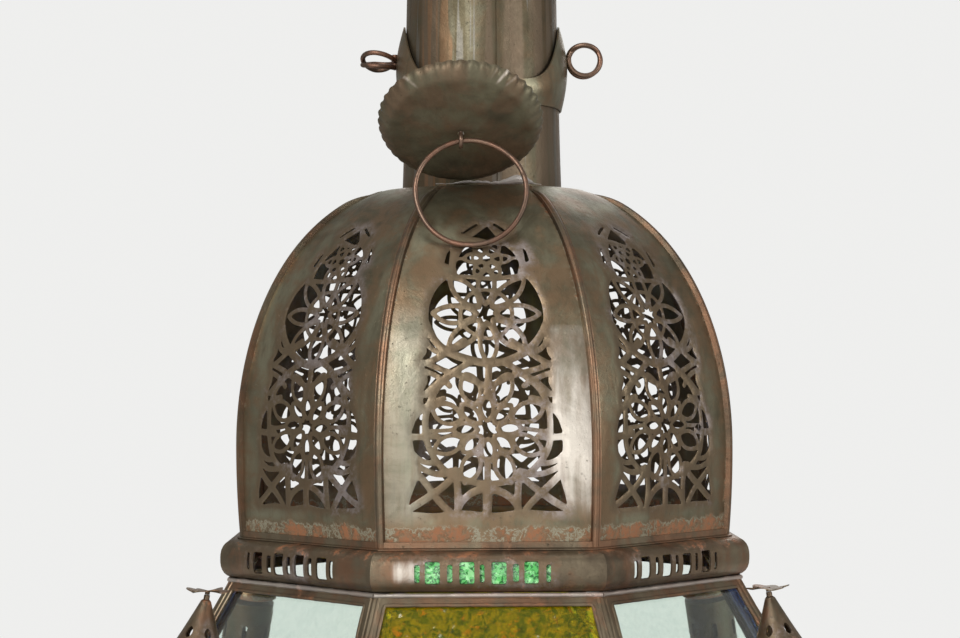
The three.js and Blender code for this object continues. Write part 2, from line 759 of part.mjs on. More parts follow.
// Trapezium on a face, keeping a stile at the sides and a rail below and above
function windowOutline(face, stile, rail, grow) {
  const low = rail - grow;
  const high = face.length - rail + grow;
  const left = (v) => face.halfWidth(v) - stile + grow;
  return [[-left(low), low], [left(low), low], [left(high), high], [-left(high), high]];
}

function glazedFrustum(frustum, glazedFaces) {
  const face = frustumFace(frustum);
  const { sides, wall, stile, rail, lip } = frustum;
  const turned = (shape, k) => shape.applyMatrix4(face.place).rotateZ((k * Math.PI * 2) / sides);
  const cutters = glazedFaces.flatMap((k) => [
    turned(plate(windowOutline(face, stile, rail, 0), -wall * 2, wall), k),
    turned(plate(windowOutline(face, stile, rail, lip), -wall * 2, -lipThickness), k),
  ]);
  const pane = (k) => turned(plate(windowOutline(face, stile, rail, lip - clearance),
    -lipThickness - clearance - glassThickness, -lipThickness - clearance), k);
  return { face, frame: cut(frustumShell(frustum), cutters), pane, turned };
}

const shoulderTopRadius = mouldingRadius + shoulderLedge;
const shoulderFootRadius = shoulderTopRadius + shoulderSpread;

function shoulder() {
  const group = level(shoulderFoot);
  const { frame, pane } = glazedFrustum({
    sides: 8, footRadius: shoulderFootRadius, topRadius: shoulderTopRadius,
    height: shoulderHeight, wall: cameWall, stile: cameWidth, rail: cameWidth, lip: cameLip,
  }, [0, 1, 2, 3, 4, 5, 6, 7]);
  add(group, 'shoulder_frame', frame, rustedTin);
  const glasses = [yellowGlass, clearGlass, blueGlass, clearGlass];
  for (let k = 0; k < 8; k += 1) add(group, `shoulder_pane_${k + 1}`, welded(pane(k)), glasses[k % 4]);
}

// Square eaves plate with an octagonal opening

const eavesHalf = shoulderFootRadius * Math.cos(halfSector) + eavesOverhang - 5;
const bodyTopHalf = eavesHalf - bodyTopInset;
const doorHalfWidth = bodyTopHalf - doorMargin;
const turretReach = eavesHalf - turretInset;

function eaves() {
  const group = level(eavesFoot);
  const ring = shoulderFootRadius - 3 * cameWall;
  const opening = revolve([[0, -1], [ring, -1], [ring, plateThickness + 1], [0, plateThickness + 1]], 8, halfSector);
  const square = block(eavesHalf * 2, eavesHalf * 2, plateThickness).translate(0, 0, plateThickness / 2);
  add(group, 'eaves_plate', cut(solid(square), [opening]), agedTin);
}

// Turrets lean towards the axis as they rise

function turret(number, signX, signY) {
  const group = level(shoulderFoot);
  const axis = vec(-signX * turretLean, -signY * turretLean, 1).normalize();
  const top = vec(signX * turretReach, signY * turretReach, turretTopHeight);
  const frame = new THREE.Group();
  frame.position.copy(top);
  frame.quaternion.setFromUnitVectors(vec(0, 0, 1), axis);
  group.add(frame);

  const below = turretTopHeight + 12;
  const tube = revolve([
    [turretRadius - turretWall, -below], [turretRadius, -below], [turretRadius, 0], [turretRadius - turretWall, 0],
  ], 12, Math.PI / 12);
  const slots = Array.from({ length: turretSlots / 2 }, (_, k) =>
    block(turretSlotWidth, turretRadius * 3, turretSlotHeight)
      .translate(0, 0, -turretTopHeight / 2).rotateZ((k * Math.PI * 2) / turretSlots));
  // The foot is cut level with the plate that it stands on
  frame.updateMatrix();
  const floor = block(turretReach * 3, turretReach * 3, below).translate(0, 0, -below / 2).applyMatrix4(frame.matrix.clone().invert());
  add(frame, `turret_tube_${number}`, cut(solid(tube), [...slots, floor]), darkTin);

  const rim = turretRadius + turretCapLip;
  const capFoot = clearance;
  const shoulderHeightShare = 0.92;
  const cap = revolve([
    [0, capFoot + turretCapHeight], [turretCapTip, capFoot + turretCapHeight],
    [turretCapTip * 1.2, capFoot + turretCapHeight * shoulderHeightShare], [rim, capFoot],
    [rim - 1.4, capFoot], [0, capFoot + turretCapHeight - 6],
  ], 12);
  const holes = Array.from({ length: turretCapHoles }, (_, k) =>
    block(2.6, rim, 4.4).translate(0, -rim / 2 - 3, capFoot + turretCapHeight * 0.4)
      .rotateZ(((k + 0.5) * Math.PI * 2) / turretCapHoles));
  add(frame, `turret_cap_${number}`, cut(solid(cap), holes), agedTin);

  const flowerFoot = capFoot + turretCapHeight + clearance;
  const petals = Array.from({ length: flowerPetals * 2 }, (_, k) => {
    const reach = k % 2 ? flowerRadius * 0.72 : flowerRadius;
    const turn = (k * Math.PI) / flowerPetals;
    return [reach * Math.cos(turn), reach * Math.sin(turn)];
  });
  const flower = plate(petals, flowerFoot + flowerStem, flowerFoot + flowerStem + flowerThickness);
  const stem = rod(vec(0, 0, flowerFoot), vec(0, 0, flowerFoot + flowerStem + 0.4), turretCapTip * 0.8, 8);
  add(frame, `turret_flower_${number}`, joined(flower, stem), rustedTin);
}

// Square body with a hinged door in front

function body() {
  const group = level(bodyFoot);
  const spread = bodyHeight * turretLean;
  const { face, frame, pane, turned } = glazedFrustum({
    sides: 4, footRadius: (bodyTopHalf + spread) * Math.SQRT2, topRadius: bodyTopHalf * Math.SQRT2,
    height: bodyHeight, wall: bodyWall, stile: bodyStile, rail: bodyRail, lip: bodyLip,
  }, [1, 2, 3]);

  const low = bodyRail;
  const high = face.length - bodyRail;
  const rectangle = (half, foot, head) => [[-half, foot], [half, foot], [half, head], [-half, head]];
  const onFront = (shape) => turned(shape, 0);
  const opening = onFront(plate(rectangle(doorHalfWidth, low, high), -bodyWall * 2, bodyWall));
  const latchAt = [doorHalfWidth + latchWidth / 2 + 4, (low + high + latchAboveKnob) / 2];
  const postHole = onFront(rod(vec(...latchAt, -bodyWall * 2), vec(...latchAt, bodyWall), latchPost + clearance));
  add(group, 'body_frame', cut(frame, [opening, postHole]), rustedTin);
  add(group, 'body_pane_right', welded(pane(1)), blueGlass);
  add(group, 'body_pane_back', welded(pane(2)), yellowGlass);
  add(group, 'body_pane_left', welded(pane(3)), blueGlass);

  const doorWall = bodyWall - 1;
  const doorHalf = doorHalfWidth - doorGap;
  const doorOutline = (inset) => rectangle(doorHalf - inset, low + doorGap + inset, high - doorGap - inset);
  const leafDoor = solid(onFront(plate(doorOutline(0), -doorWall, 0)));
  const sight = onFront(plate(doorOutline(doorStile), -doorWall * 2, doorWall));
  const rebate = onFront(plate(doorOutline(doorStile - bodyLip), -doorWall * 2, -lipThickness));
  const hingeAt = (v) => vec(-doorHalfWidth - doorGap / 2 + 1, v, hingeBarrel + clearance);
  const hingePlaces = [low + hingeInset, high - hingeInset];
  const barrel = (v, from, to, radius) =>
    rod(hingeAt(v).add(vec(0, from, 0)), hingeAt(v).add(vec(0, to, 0)), radius, 10);
  const half = hingeLength / 2;
  const doorKnuckles = hingePlaces.map((v) => {
    const strap = plate(rectangle(hingeLeaf / 2, -half, half), -0.4, leafThickness)
      .translate(hingeAt(v).x + hingeLeaf / 2 + 0.6, v, 0);
    const strapCut = solid(strap).add(solid(barrel(v, -half, half, hingeBarrel)))
      .subtract(solid(barrel(v, -half - 1, half + 1, hingeBore)));
    return solid(onFront(geometryOf(strapCut)));
  });
  const knobHole = vec(doorHalf - doorStile / 2, (low + high - latchAboveKnob) / 2, 0);
  const knobBore = onFront(rod(knobHole.clone().setZ(-bodyWall * 2), knobHole.clone().setZ(bodyWall),
    latchPost + clearance));
  const doorFrame = doorKnuckles.reduce((sum, knuckle) => sum.add(knuckle), cut(leafDoor, [sight, rebate]));
  add(group, 'door_frame', cut(doorFrame, [knobBore]), rustedTin);
  const paneBack = -lipThickness - clearance - glassThickness;
  add(group, 'door_pane', welded(onFront(plate(doorOutline(doorStile - bodyLip + clearance),
    paneBack, -lipThickness - clearance))), yellowGlass);

  hingePlaces.forEach((v, i) => {
    const ends = [[-half - clearance - 6, -half - clearance], [half + clearance, half + clearance + 6]];
    const knuckles = ends.map(([from, to]) => barrel(v, from, to, hingeBarrel));
    const pin = barrel(v, -half - 6, half + 6, hingePin);
    const leaf = plate(rectangle(hingeLeaf / 2, -half - 6, half + 6), clearance, clearance + leafThickness)
      .translate(hingeAt(v).x - hingeLeaf / 2 - 0.2, v, 0);
    const notch = barrel(v, -half - clearance, half + clearance, hingeBarrel + clearance);
    const fixed = solid(leaf).subtract(solid(notch));
    const whole = [...knuckles, pin].reduce((sum, shape) => sum.add(solid(shape)), fixed);
    add(group, i ? 'door_hinge_upper' : 'door_hinge_lower', onFront(geometryOf(whole)), darkTin);
  });

  const button = plate(rectangle(latchWidth / 2, -latchLength / 2, latchLength / 2), 0.5, 0.5 + latchThickness);
  const post = rod(vec(0, 0, -bodyWall - 2), vec(0, 0, 1), latchPost);
  const clench = rod(vec(0, 0, -bodyWall - 2), vec(0, 0, -bodyWall - clearance), latchPost * 2);
  const latch = geometryOf(joined(button, post, clench)).translate(latchAt[0], latchAt[1], 0);
  add(group, 'door_latch', onFront(latch), darkTin);

  const knob = revolve([
    [0, clearance], [knobRadius * 0.5, clearance], [knobRadius * 0.4, knobLength * 0.4],
    [knobRadius, knobLength * 0.6], [knobRadius * 0.7, knobLength], [0, knobLength],
  ], 12);
  const screw = rod(vec(0, 0, -doorWall - 2), vec(0, 0, 1), latchPost);
  const nut = rod(vec(0, 0, -doorWall - 2), vec(0, 0, -doorWall - clearance), latchPost * 2, 6);
  const knobShape = geometryOf(joined(knob, screw, nut)).translate(knobHole.x, knobHole.y, 0);
  add(group, 'door_knob', onFront(knobShape), copperWire);
}

// Base: half-round moulding round a flat plate, with the candle's tray and cup on it

const baseHalf = bodyTopHalf + bodyHeight * turretLean;

function base() {
  const corner = (half) => half * Math.SQRT2;
  const outline = mouldingOutline(corner(baseHalf - baseBulge * 0.5), corner(baseBulge), baseRise,
    baseRise * 0.5, baseSheet);
  add(level(baseMouldingFoot), 'base_moulding', revolve(outline, 4, Math.PI / 4), rustedTin);
  const half = baseHalf + baseOverhang;
  add(level(0), 'base_plate', welded(block(half * 2, half * 2, plateThickness)
    .translate(0, 0, plateThickness / 2)), agedTin);

  const trayFoot = plateThickness + clearance;
  add(level(trayFoot), 'drip_tray', revolve([
    [0, 0], [trayRadius * 0.8, 0], [trayRadius, trayRim], [trayRadius - traySheet, trayRim],
    [trayRadius * 0.8 - traySheet * 0.5, traySheet], [0, traySheet],
  ], 16), agedTin);
  add(level(trayFoot + traySheet + clearance), 'candle_cup', revolve([
    [0, 0], [cupRadius + 4, 0], [cupRadius, 3], [cupRadius, cupHeight], [cupRadius - cupWall, cupHeight],
    [cupRadius - cupWall, 3], [0, 3],
  ], 14), agedTin);
}

dome();
neck();
collar();
eyelet('eyelet_left', -1, THREE.MathUtils.degToRad(83));
eyelet('eyelet_right', 1, THREE.MathUtils.degToRad(-8));
hangingDisc();
ringMoulding();
shoulder();
eaves();
[[1, -1], [1, 1], [-1, 1], [-1, -1]].forEach(([x, y], i) => turret(i + 1, x, y));
body();
base();

export default lantern;
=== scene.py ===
"""Hanging Moroccan lantern of pierced sheet metal and coloured glass.

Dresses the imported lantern: fine pieces, finishes, studio light and camera. Sizes are millimetres
in the lantern's own frame, origin at the middle of its underside, front towards -Y. Blender's own
lengths are metres.
"""
from __future__ import annotations

import json
import logging
import math
import sys
from dataclasses import dataclass, field
from enum import Enum
from typing import Any, Callable, Sequence

import bpy
import numpy as np
from mathutils import Matrix, Vector
from mathutils.geometry import delaunay_2d_cdt

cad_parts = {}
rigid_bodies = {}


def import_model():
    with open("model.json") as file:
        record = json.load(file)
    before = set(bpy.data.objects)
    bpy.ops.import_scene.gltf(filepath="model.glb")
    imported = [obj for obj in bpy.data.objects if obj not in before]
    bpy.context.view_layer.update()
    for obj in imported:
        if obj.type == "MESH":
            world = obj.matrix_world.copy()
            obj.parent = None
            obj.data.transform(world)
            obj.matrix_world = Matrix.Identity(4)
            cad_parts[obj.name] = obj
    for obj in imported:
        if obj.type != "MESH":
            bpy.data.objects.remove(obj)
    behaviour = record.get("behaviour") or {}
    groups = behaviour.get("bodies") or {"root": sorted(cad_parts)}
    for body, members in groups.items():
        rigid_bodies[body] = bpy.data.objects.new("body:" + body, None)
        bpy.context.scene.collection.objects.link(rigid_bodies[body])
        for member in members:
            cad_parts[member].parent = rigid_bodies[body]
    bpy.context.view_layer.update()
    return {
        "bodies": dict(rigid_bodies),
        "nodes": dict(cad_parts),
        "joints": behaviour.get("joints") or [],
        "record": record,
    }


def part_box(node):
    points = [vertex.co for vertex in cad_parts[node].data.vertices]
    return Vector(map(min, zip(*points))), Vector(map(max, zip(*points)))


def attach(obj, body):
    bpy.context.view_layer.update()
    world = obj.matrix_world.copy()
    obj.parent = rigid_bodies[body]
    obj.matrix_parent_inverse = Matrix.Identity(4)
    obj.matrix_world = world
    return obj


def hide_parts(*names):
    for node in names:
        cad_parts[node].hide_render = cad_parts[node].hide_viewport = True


LOG = logging.getLogger("lantern")
Array = np.ndarray
Colour = Point = tuple[float, float, float]
Pair = tuple[float, float]
Field = Callable[[Array, Array], Array]
Width = Callable[[Array], Array]

MM = 0.001
FAR = 1e3
TURN = 2 * math.pi
SIDES = 8
HALF_SECTOR = math.pi / SIDES
CLEARANCE = 0.3
HOOK: Point = (-12.8, -48.344, 585.192)


# --- Shapes ---


@dataclass
class Shape:
    """Points in millimetres, the faces between them, and one number per point for each mark."""

    points: Array
    faces: list[Array]
    marks: dict[str, Array] = field(default_factory=dict)

    def mapped(self, change: Callable[[Array], Array]) -> Shape:
        """The shape with its points moved by a function of all of them."""
        return Shape(change(self.points), self.faces, self.marks)

    def placed(self, matrix: Matrix) -> Shape:
        """The shape moved by a 4x4 matrix in millimetres."""
        m = np.array(matrix)
        return self.mapped(lambda p: p @ m[:3, :3].T + m[:3, 3])

    def turned(self, angle: float) -> Shape:
        """The shape turned about the lantern's axis."""
        return self.placed(Matrix.Rotation(angle, 4, "Z"))

    def lifted(self, height: float) -> Shape:
        """The shape raised by a height."""
        return self.mapped(lambda p: p + np.array([0.0, 0.0, height]))

    def outward(self) -> Shape:
        """The closed shape with its faces pointing outwards.

        The volume is summed over the tetrahedra from the origin to each triangle of a face.
        """
        volume = 0.0
        for block in self.faces:
            for k in range(1, block.shape[1] - 1):
                a, b, c = (self.points[block[:, i]] for i in (0, k, k + 1))
                volume += float(np.einsum("ij,ij->", a, np.cross(b, c)))
        faces = self.faces if volume >= 0 else [block[:, ::-1] for block in self.faces]
        return Shape(self.points, faces, self.marks)

    @staticmethod
    def joined(shapes: Sequence[Shape]) -> Shape:
        """One shape that holds all the given ones, side by side."""
        starts = np.cumsum([0] + [len(s.points) for s in shapes[:-1]])
        names = sorted({name for s in shapes for name in s.marks})
        marks = {
            name: np.concatenate([s.marks.get(name, np.zeros(len(s.points))) for s in shapes])
            for name in names
        }
        faces = [block + start for s, start in zip(shapes, starts) for block in s.faces]
        return Shape(np.concatenate([s.points for s in shapes]), faces, marks)


def skin(points: Array, wrap_rows: bool = False, wrap_columns: bool = False) -> Shape:
    """Skins a grid of points with four-sided faces.

    Args:
        points: Array of rows x columns x 3.
        wrap_rows: Joins the last row to the first.
        wrap_columns: Joins the last column to the first.

    Returns:
        The open or closed surface.
    """
    rows, columns = points.shape[:2]
    r = np.arange(rows if wrap_rows else rows - 1)[:, None]
    c = np.arange(columns if wrap_columns else columns - 1)[None, :]
    r2, c2 = (r + 1) % rows, (c + 1) % columns
    corners = (r * columns + c, r * columns + c2, r2 * columns + c2, r2 * columns + c)
    faces = np.stack([np.broadcast_to(k, (r.size, c.size)).ravel() for k in corners], axis=1)
    return Shape(points.reshape(-1, 3), [faces])


def closed_skin(points: Array) -> Shape:
    """Skins a grid of points that closes on itself in both directions."""
    return skin(points, wrap_rows=True, wrap_columns=True).outward()


def sweep(sections: Array, closed: bool = False) -> Shape:
    """Skins a row of closed sections, and closes its ends with fans of triangles.

    Args:
        sections: Array of stations x section points x 3.
        closed: Joins the last section to the first instead of closing the ends.
    """
    tube = skin(sections, wrap_rows=closed, wrap_columns=True)
    if closed:
        return tube.outward()
    count, last = sections.shape[1], (len(sections) - 1) * sections.shape[1]
    fan = np.arange(1, count - 1)
    first_cap = np.stack([np.zeros_like(fan), fan + 1, fan], axis=1)
    last_cap = np.stack([np.zeros_like(fan), fan, fan + 1], axis=1) + last
    return Shape(tube.points, [*tube.faces, first_cap, last_cap]).outward()


def unit(vectors: Array) -> Array:
    """The vectors scaled to length one."""
    return vectors / np.maximum(np.linalg.norm(vectors, axis=-1, keepdims=True), 1e-12)


def angles(count: int) -> Array:
    """That many angles, spaced evenly round a whole turn."""
    return np.linspace(0, TURN, count, endpoint=False)


def circle(radius: float, count: int) -> Array:
    """That many (x, y) points round a circle."""
    return radius * np.column_stack([np.cos(angles(count)), np.sin(angles(count))])


def from_side(radius: Array, angle: Array, height: Array | float) -> Array:
    """Points at a distance from the axis and a height, turned from the right side."""
    return np.stack(np.broadcast_arrays(radius * np.cos(angle), radius * np.sin(angle), height), axis=-1)


def from_front(radius: Array, angle: Array, height: Array | float) -> Array:
    """Points at a distance from the axis and a height, turned from the front."""
    return np.stack(np.broadcast_arrays(radius * np.sin(angle), -radius * np.cos(angle), height), axis=-1)


def ramp(value: Array, zero: float, one: float) -> Array:
    """A straight rise from 0 where the value is `zero` to 1 where it is `one`."""
    return np.clip((value - zero) / (one - zero), 0, 1)


def bell(value: Array, middle: float, width: float, power: int = 2) -> Array:
    """A hump of height 1: exp(-((value - middle) / width)^power)."""
    return np.exp(-(((value - middle) / width) ** power))


def oblong(left: float, right: float, low: float, high: float) -> list[Pair]:
    """The corners of a rectangle, anticlockwise."""
    return [(left, low), (right, low), (right, high), (left, high)]


def wire(path: Array, radius: float | Array, across: Sequence[float], sides: int = 12, closed: bool = False) -> Shape:
    """Round wire along a path.

    Each section is a circle in the plane at right angles to the path; its first axis is the cross
    product of the direction given as across and the path's direction.

    Args:
        path: Points of the wire's centre line.
        radius: One radius, or one for each point.
        across: A direction that the path never runs along.
        sides: Points round the wire.
        closed: Joins the wire's end to its start.
    """
    if closed:
        along = unit(np.roll(path, -1, axis=0) - np.roll(path, 1, axis=0))
    else:
        along = unit(np.gradient(path, axis=0))
    side = unit(np.cross(np.asarray(across, float), along))
    up = np.cross(along, side)
    turn = angles(sides)
    reach = np.broadcast_to(np.asarray(radius, float).reshape(-1, 1, 1), (len(path), 1, 1))
    ring = np.cos(turn)[None, :, None] * side[:, None, :] + np.sin(turn)[None, :, None] * up[:, None, :]
    return sweep(path[:, None, :] + reach * ring, closed)


def hoop(middle: Sequence[float], radius: float, thick: float, facing: int, count: int, sides: int) -> Shape:
    """Ring of round wire.

    Args:
        middle: Its centre.
        radius: Radius of the ring.
        thick: Radius of the wire.
        facing: Axis that the ring faces: 0 for X, 1 for Y.
        count: Points along the wire.
        sides: Points round the wire.
    """
    path = np.insert(circle(radius, count), facing, 0, axis=1) + np.asarray(middle, float)
    return wire(path, thick, np.eye(3)[facing], sides, True)


def lathe(outline: Array, count: int = 96, phase: float = 0.0) -> Shape:
    """Turns a closed outline of (radius, height) pairs about the axis."""
    turn = phase + angles(count)[:, None]
    return closed_skin(from_side(outline[None, :, 0], turn, outline[None, :, 1]))


def rounded(corners: Sequence[Sequence[float]], radius: float, steps: int = 4) -> Array:
    """Rounds the corners of a closed outline.

    Each corner becomes a quadratic Bezier curve between points at the given distance from it.

    Args:
        corners: Corner points in order.
        radius: Distance from each corner at which its curve starts and ends.
        steps: Points on each curve.
    """
    c = np.asarray(corners, float)
    before, after = unit(np.roll(c, 1, axis=0) - c), unit(np.roll(c, -1, axis=0) - c)
    t = np.linspace(0, 1, steps)[None, :, None]
    start, end = (c + before * radius)[:, None], (c + after * radius)[:, None]
    return (((1 - t) ** 2) * start + 2 * t * (1 - t) * c[:, None] + t**2 * end).reshape(-1, 2)


def rod(start: Sequence[float], end: Sequence[float], radius: float, sides: int = 20, bevel: float = 0.25) -> Shape:
    """Straight round rod between two points, with a small bevel at both ends."""
    a, b = np.asarray(start, float), np.asarray(end, float)
    along = (b - a) / np.linalg.norm(b - a)
    across = np.array([0.0, 0.0, 1.0]) if abs(along[2]) < 0.9 else np.array([1.0, 0.0, 0.0])
    bevel = min(bevel, radius * 0.4)
    path = np.stack([a, a + along * bevel, b - along * bevel, b])
    return wire(path, np.array([radius - bevel, radius, radius, radius - bevel]), across, sides)


def prism(outline: Array, low: float, high: float, bevel: float = 0.2) -> Shape:
    """Flat plate with the given convex or star-shaped outline, bevelled above and below.

    The bevel shrinks the outline towards its middle by the bevel's width.
    """
    middle = outline.mean(axis=0)
    inward = unit(middle - outline) * bevel
    rows = [(outline + inward, low), (outline, low + bevel), (outline, high - bevel), (outline + inward, high)]
    sections = np.stack([np.column_stack([o, np.full(len(o), z)]) for o, z in rows])
    body = skin(sections, wrap_columns=True)
    count = len(outline)
    points = np.concatenate([body.points, [[*middle, low]], [[*middle, high]]])
    i = np.arange(count)
    foot = np.stack([np.full(count, 4 * count), (i + 1) % count, i], axis=1)
    head = np.stack([np.full(count, 4 * count + 1), i + 3 * count, (i + 1) % count + 3 * count], axis=1)
    return Shape(points, [*body.faces, foot, head]).outward()


class Ripple:
    """Smooth seeded unevenness: a sum of sine waves with random directions and phases."""

    def __init__(self, seed: int, wavelength: float, waves: int = 7) -> None:
        """Draws that many waves of about that length from the seed."""
        draw = np.random.default_rng(seed)
        length = wavelength * draw.uniform(0.6, 1.7, waves)
        turn = draw.uniform(0, TURN, waves)
        self.pace = np.stack([np.cos(turn), np.sin(turn)], axis=1) * (TURN / length)[:, None]
        self.phase = draw.uniform(0, TURN, waves)

    def __call__(self, u: Array, v: Array) -> Array:
        """The unevenness at (u, v), about -1 to 1."""
        angle = u[..., None] * self.pace[:, 0] + v[..., None] * self.pace[:, 1] + self.phase
        return np.sin(angle).sum(axis=-1) / math.sqrt(len(self.phase))


# --- Pierced sheets ---


def zero_line(values: Array, us: Array, vs: Array) -> tuple[Array, Array]:
    """Traces the zero line of a grid of values by marching squares.

    A crossing lies on a grid edge at the share value_a / (value_a - value_b). Each cell joins its
    crossings in pairs; where it has four, the mean of its corners decides the pairs. The points
    are then smoothed once along the line.

    Args:
        values: Rows of vs by columns of us.
        us: Grid positions of the columns.
        vs: Grid positions of the rows.

    Returns:
        The points (n, 2), and the pairs of point numbers of the line's segments.
    """
    inside = values > 0
    flat = inside[:, :-1] != inside[:, 1:]
    tall = inside[:-1] != inside[1:]
    number_flat, number_tall = np.full(flat.shape, -1), np.full(tall.shape, -1)
    number_flat[flat] = np.arange(flat.sum())
    number_tall[tall] = np.arange(tall.sum()) + flat.sum()

    def crossings(cut: Array, up: int, right: int) -> Array:
        row, column = np.nonzero(cut)
        here = values[row, column]
        share = here / (here - values[row + up, column + right])
        u, v = us[column] + right * share * (us[1] - us[0]), vs[row] + up * share * (vs[1] - vs[0])
        return np.stack([u, v], axis=1)

    points = np.concatenate([crossings(flat, 0, 1), crossings(tall, 1, 0)])

    edge = [number_flat[:-1], number_tall[:, 1:], number_flat[1:], number_tall[:, :-1]]
    code = inside[:-1, :-1] + 2 * inside[:-1, 1:] + 4 * inside[1:, 1:] + 8 * inside[1:, :-1]
    mean = (values[:-1, :-1] + values[:-1, 1:] + values[1:, 1:] + values[1:, :-1]) > 0
    pairs: list[Array] = []

    def join(cells: Array, *links: tuple[int, int]) -> None:
        for a, b in links:
            pairs.append(np.stack([edge[a][cells], edge[b][cells]], axis=1))

    links = {(1, 14): (3, 0), (2, 13): (0, 1), (3, 12): (3, 1), (4, 11): (1, 2), (6, 9): (0, 2), (7, 8): (2, 3)}
    for codes, link in links.items():
        join(np.isin(code, codes), link)
    join(((code == 5) & mean) | ((code == 10) & ~mean), (0, 1), (2, 3))
    join(((code == 5) & ~mean) | ((code == 10) & mean), (3, 0), (1, 2))
    segments = np.concatenate(pairs)

    total = np.zeros_like(points)
    np.add.at(total, segments[:, 0], points[segments[:, 1]])
    np.add.at(total, segments[:, 1], points[segments[:, 0]])
    count = np.bincount(segments.ravel(), minlength=len(points))[:, None]
    return points * 0.5 + total / np.maximum(count, 1) * 0.5, segments


def even(width: float) -> Width:
    """The half width of a sheet that is equally wide at every station."""
    return lambda v: np.full(np.shape(v), width)


def slot_room(x: Array, y: Array, width: float, tall: float, corner: float) -> Array:
    """The room inside an upright slot with rounded corners, positive inside.

    It is the corner's radius less the distance to the rectangle that is smaller by this radius.
    """
    x, y = np.abs(x) - width / 2 + corner, np.abs(y) - tall / 2 + corner
    return corner - np.hypot(np.maximum(x, 0), np.maximum(y, 0)) - np.minimum(np.maximum(x, y), 0)


@dataclass(frozen=True)
class PiercedSheet:
    """Sheet metal with holes cut through it, bent into its place.

    Attributes:
        low: Lowest station of the sheet.
        high: Highest station.
        half: Half the sheet's width at each station.
        holes: Function of (u, v) that is positive in the holes, in millimetres from their edges.
        place: Function of (u, v, depth) that gives points in space; depth is measured inwards.
        thickness: Thickness of the sheet.
        cell: Grid on which the holes' edges are traced.
        spacing: Distance between points inside the metal.
        dome: How far the bars between the cuts lean in at their edges.
        dome_reach: Distance from a cut within which they do so.
        edge_reach: Distance from a cut at which its mark fades.
        stain_reach: Distance from the sheet's outer edge at which its stain fades.
    """

    low: float
    high: float
    half: Width
    holes: Field
    place: Callable[[Array, Array, float], Array]
    thickness: float
    cell: float = 0.75
    spacing: float = 4.5
    dome: float = 0.0
    dome_reach: float = 0.9
    edge_reach: float = 3.4
    stain_reach: float = 4.0

    def outline(self) -> Array:
        """The sheet's outer edge, anticlockwise."""
        rise = np.append(np.arange(self.low, self.high, self.spacing), self.high)
        right = np.stack([self.half(rise), rise], axis=1)
        left = right[::-1] * np.array([-1.0, 1.0])
        foot_half = self.half(np.array([self.low]))[0]
        across = np.arange(-foot_half, foot_half, self.spacing)[1:]
        foot = np.stack([across, np.full(len(across), self.low)], axis=1)
        return np.concatenate([right, left, foot])

    def room(self, u: Array, v: Array) -> Array:
        """The distance inwards from the sheet's outer edge."""
        return np.minimum(self.half(v) - np.abs(u), np.minimum(v - self.low, self.high - v))

    def flat_metal(self) -> tuple[Array, Array]:
        """The sheet before it is bent: its points (n, 2) and the triangles of its metal.

        The holes' edges, the outer edge and a grid of points between them are triangulated; the
        triangles whose middle lies in a hole are dropped.
        """
        width = float(self.half(np.linspace(self.low, self.high, 50)).max())
        us = np.arange(-width - 1, width + 1, self.cell)
        vs = np.arange(self.low - 1, self.high + 1, self.cell)
        u, v = np.meshgrid(us, vs)
        values = np.minimum(self.holes(u, v), self.room(u, v) - 0.6)
        line, segments = zero_line(values, us, vs)
        rim = self.outline()
        rim_pairs = np.stack([np.arange(len(rim)), np.roll(np.arange(len(rim)), -1)], axis=1)
        u, v = np.meshgrid(
            np.arange(-width, width, self.spacing) + self.spacing / 2,
            np.arange(self.low, self.high, self.spacing) + self.spacing / 2,
        )
        keep = (self.holes(u, v) < -0.3 * self.spacing) & (self.room(u, v) > 1.5)
        inner = np.stack([u[keep], v[keep]], axis=1)
        flat = np.concatenate([line, rim, inner])
        pairs = np.concatenate([segments, rim_pairs + len(line)])
        corners, _, faces, *_ = delaunay_2d_cdt([Vector(p) for p in flat], pairs.tolist(), [], 1, 1e-5, False)
        flat = np.array([tuple(p) for p in corners])
        triangles = np.array(faces)
        middle = flat[triangles].mean(axis=1)
        return flat, triangles[self.holes(middle[:, 0], middle[:, 1]) <= 0]

    def shape(self) -> Shape:
        """The sheet as a closed shape, with marks for closeness to a cut and to its rim."""
        flat, triangles = self.flat_metal()
        u, v = flat[:, 0], flat[:, 1]
        metal = np.maximum(-self.holes(u, v), 0)
        edge = bell(metal, 0, self.edge_reach)
        stain = np.exp(-np.maximum(self.room(u, v), 0) / self.stain_reach)
        front = self.place(u, v, self.dome * bell(metal, 0, self.dome_reach))
        back = self.place(u, v, self.thickness)
        count = len(flat)
        directed = np.concatenate([triangles[:, [0, 1]], triangles[:, [1, 2]], triangles[:, [2, 0]]])
        forth = directed[:, 0] * count + directed[:, 1]
        back_code = directed[:, 1] * count + directed[:, 0]
        open_edges = directed[~np.isin(forth, back_code)]
        a, b = open_edges[:, 0], open_edges[:, 1]
        walls = np.stack([b, a, a + count, b + count], axis=1)
        return Shape(
            np.concatenate([front, back]),
            [triangles, triangles[:, ::-1] + count, walls],
            {"edge": np.tile(edge, 2), "stain": np.tile(stain, 2)},
        ).outward()


# --- Finishes ---


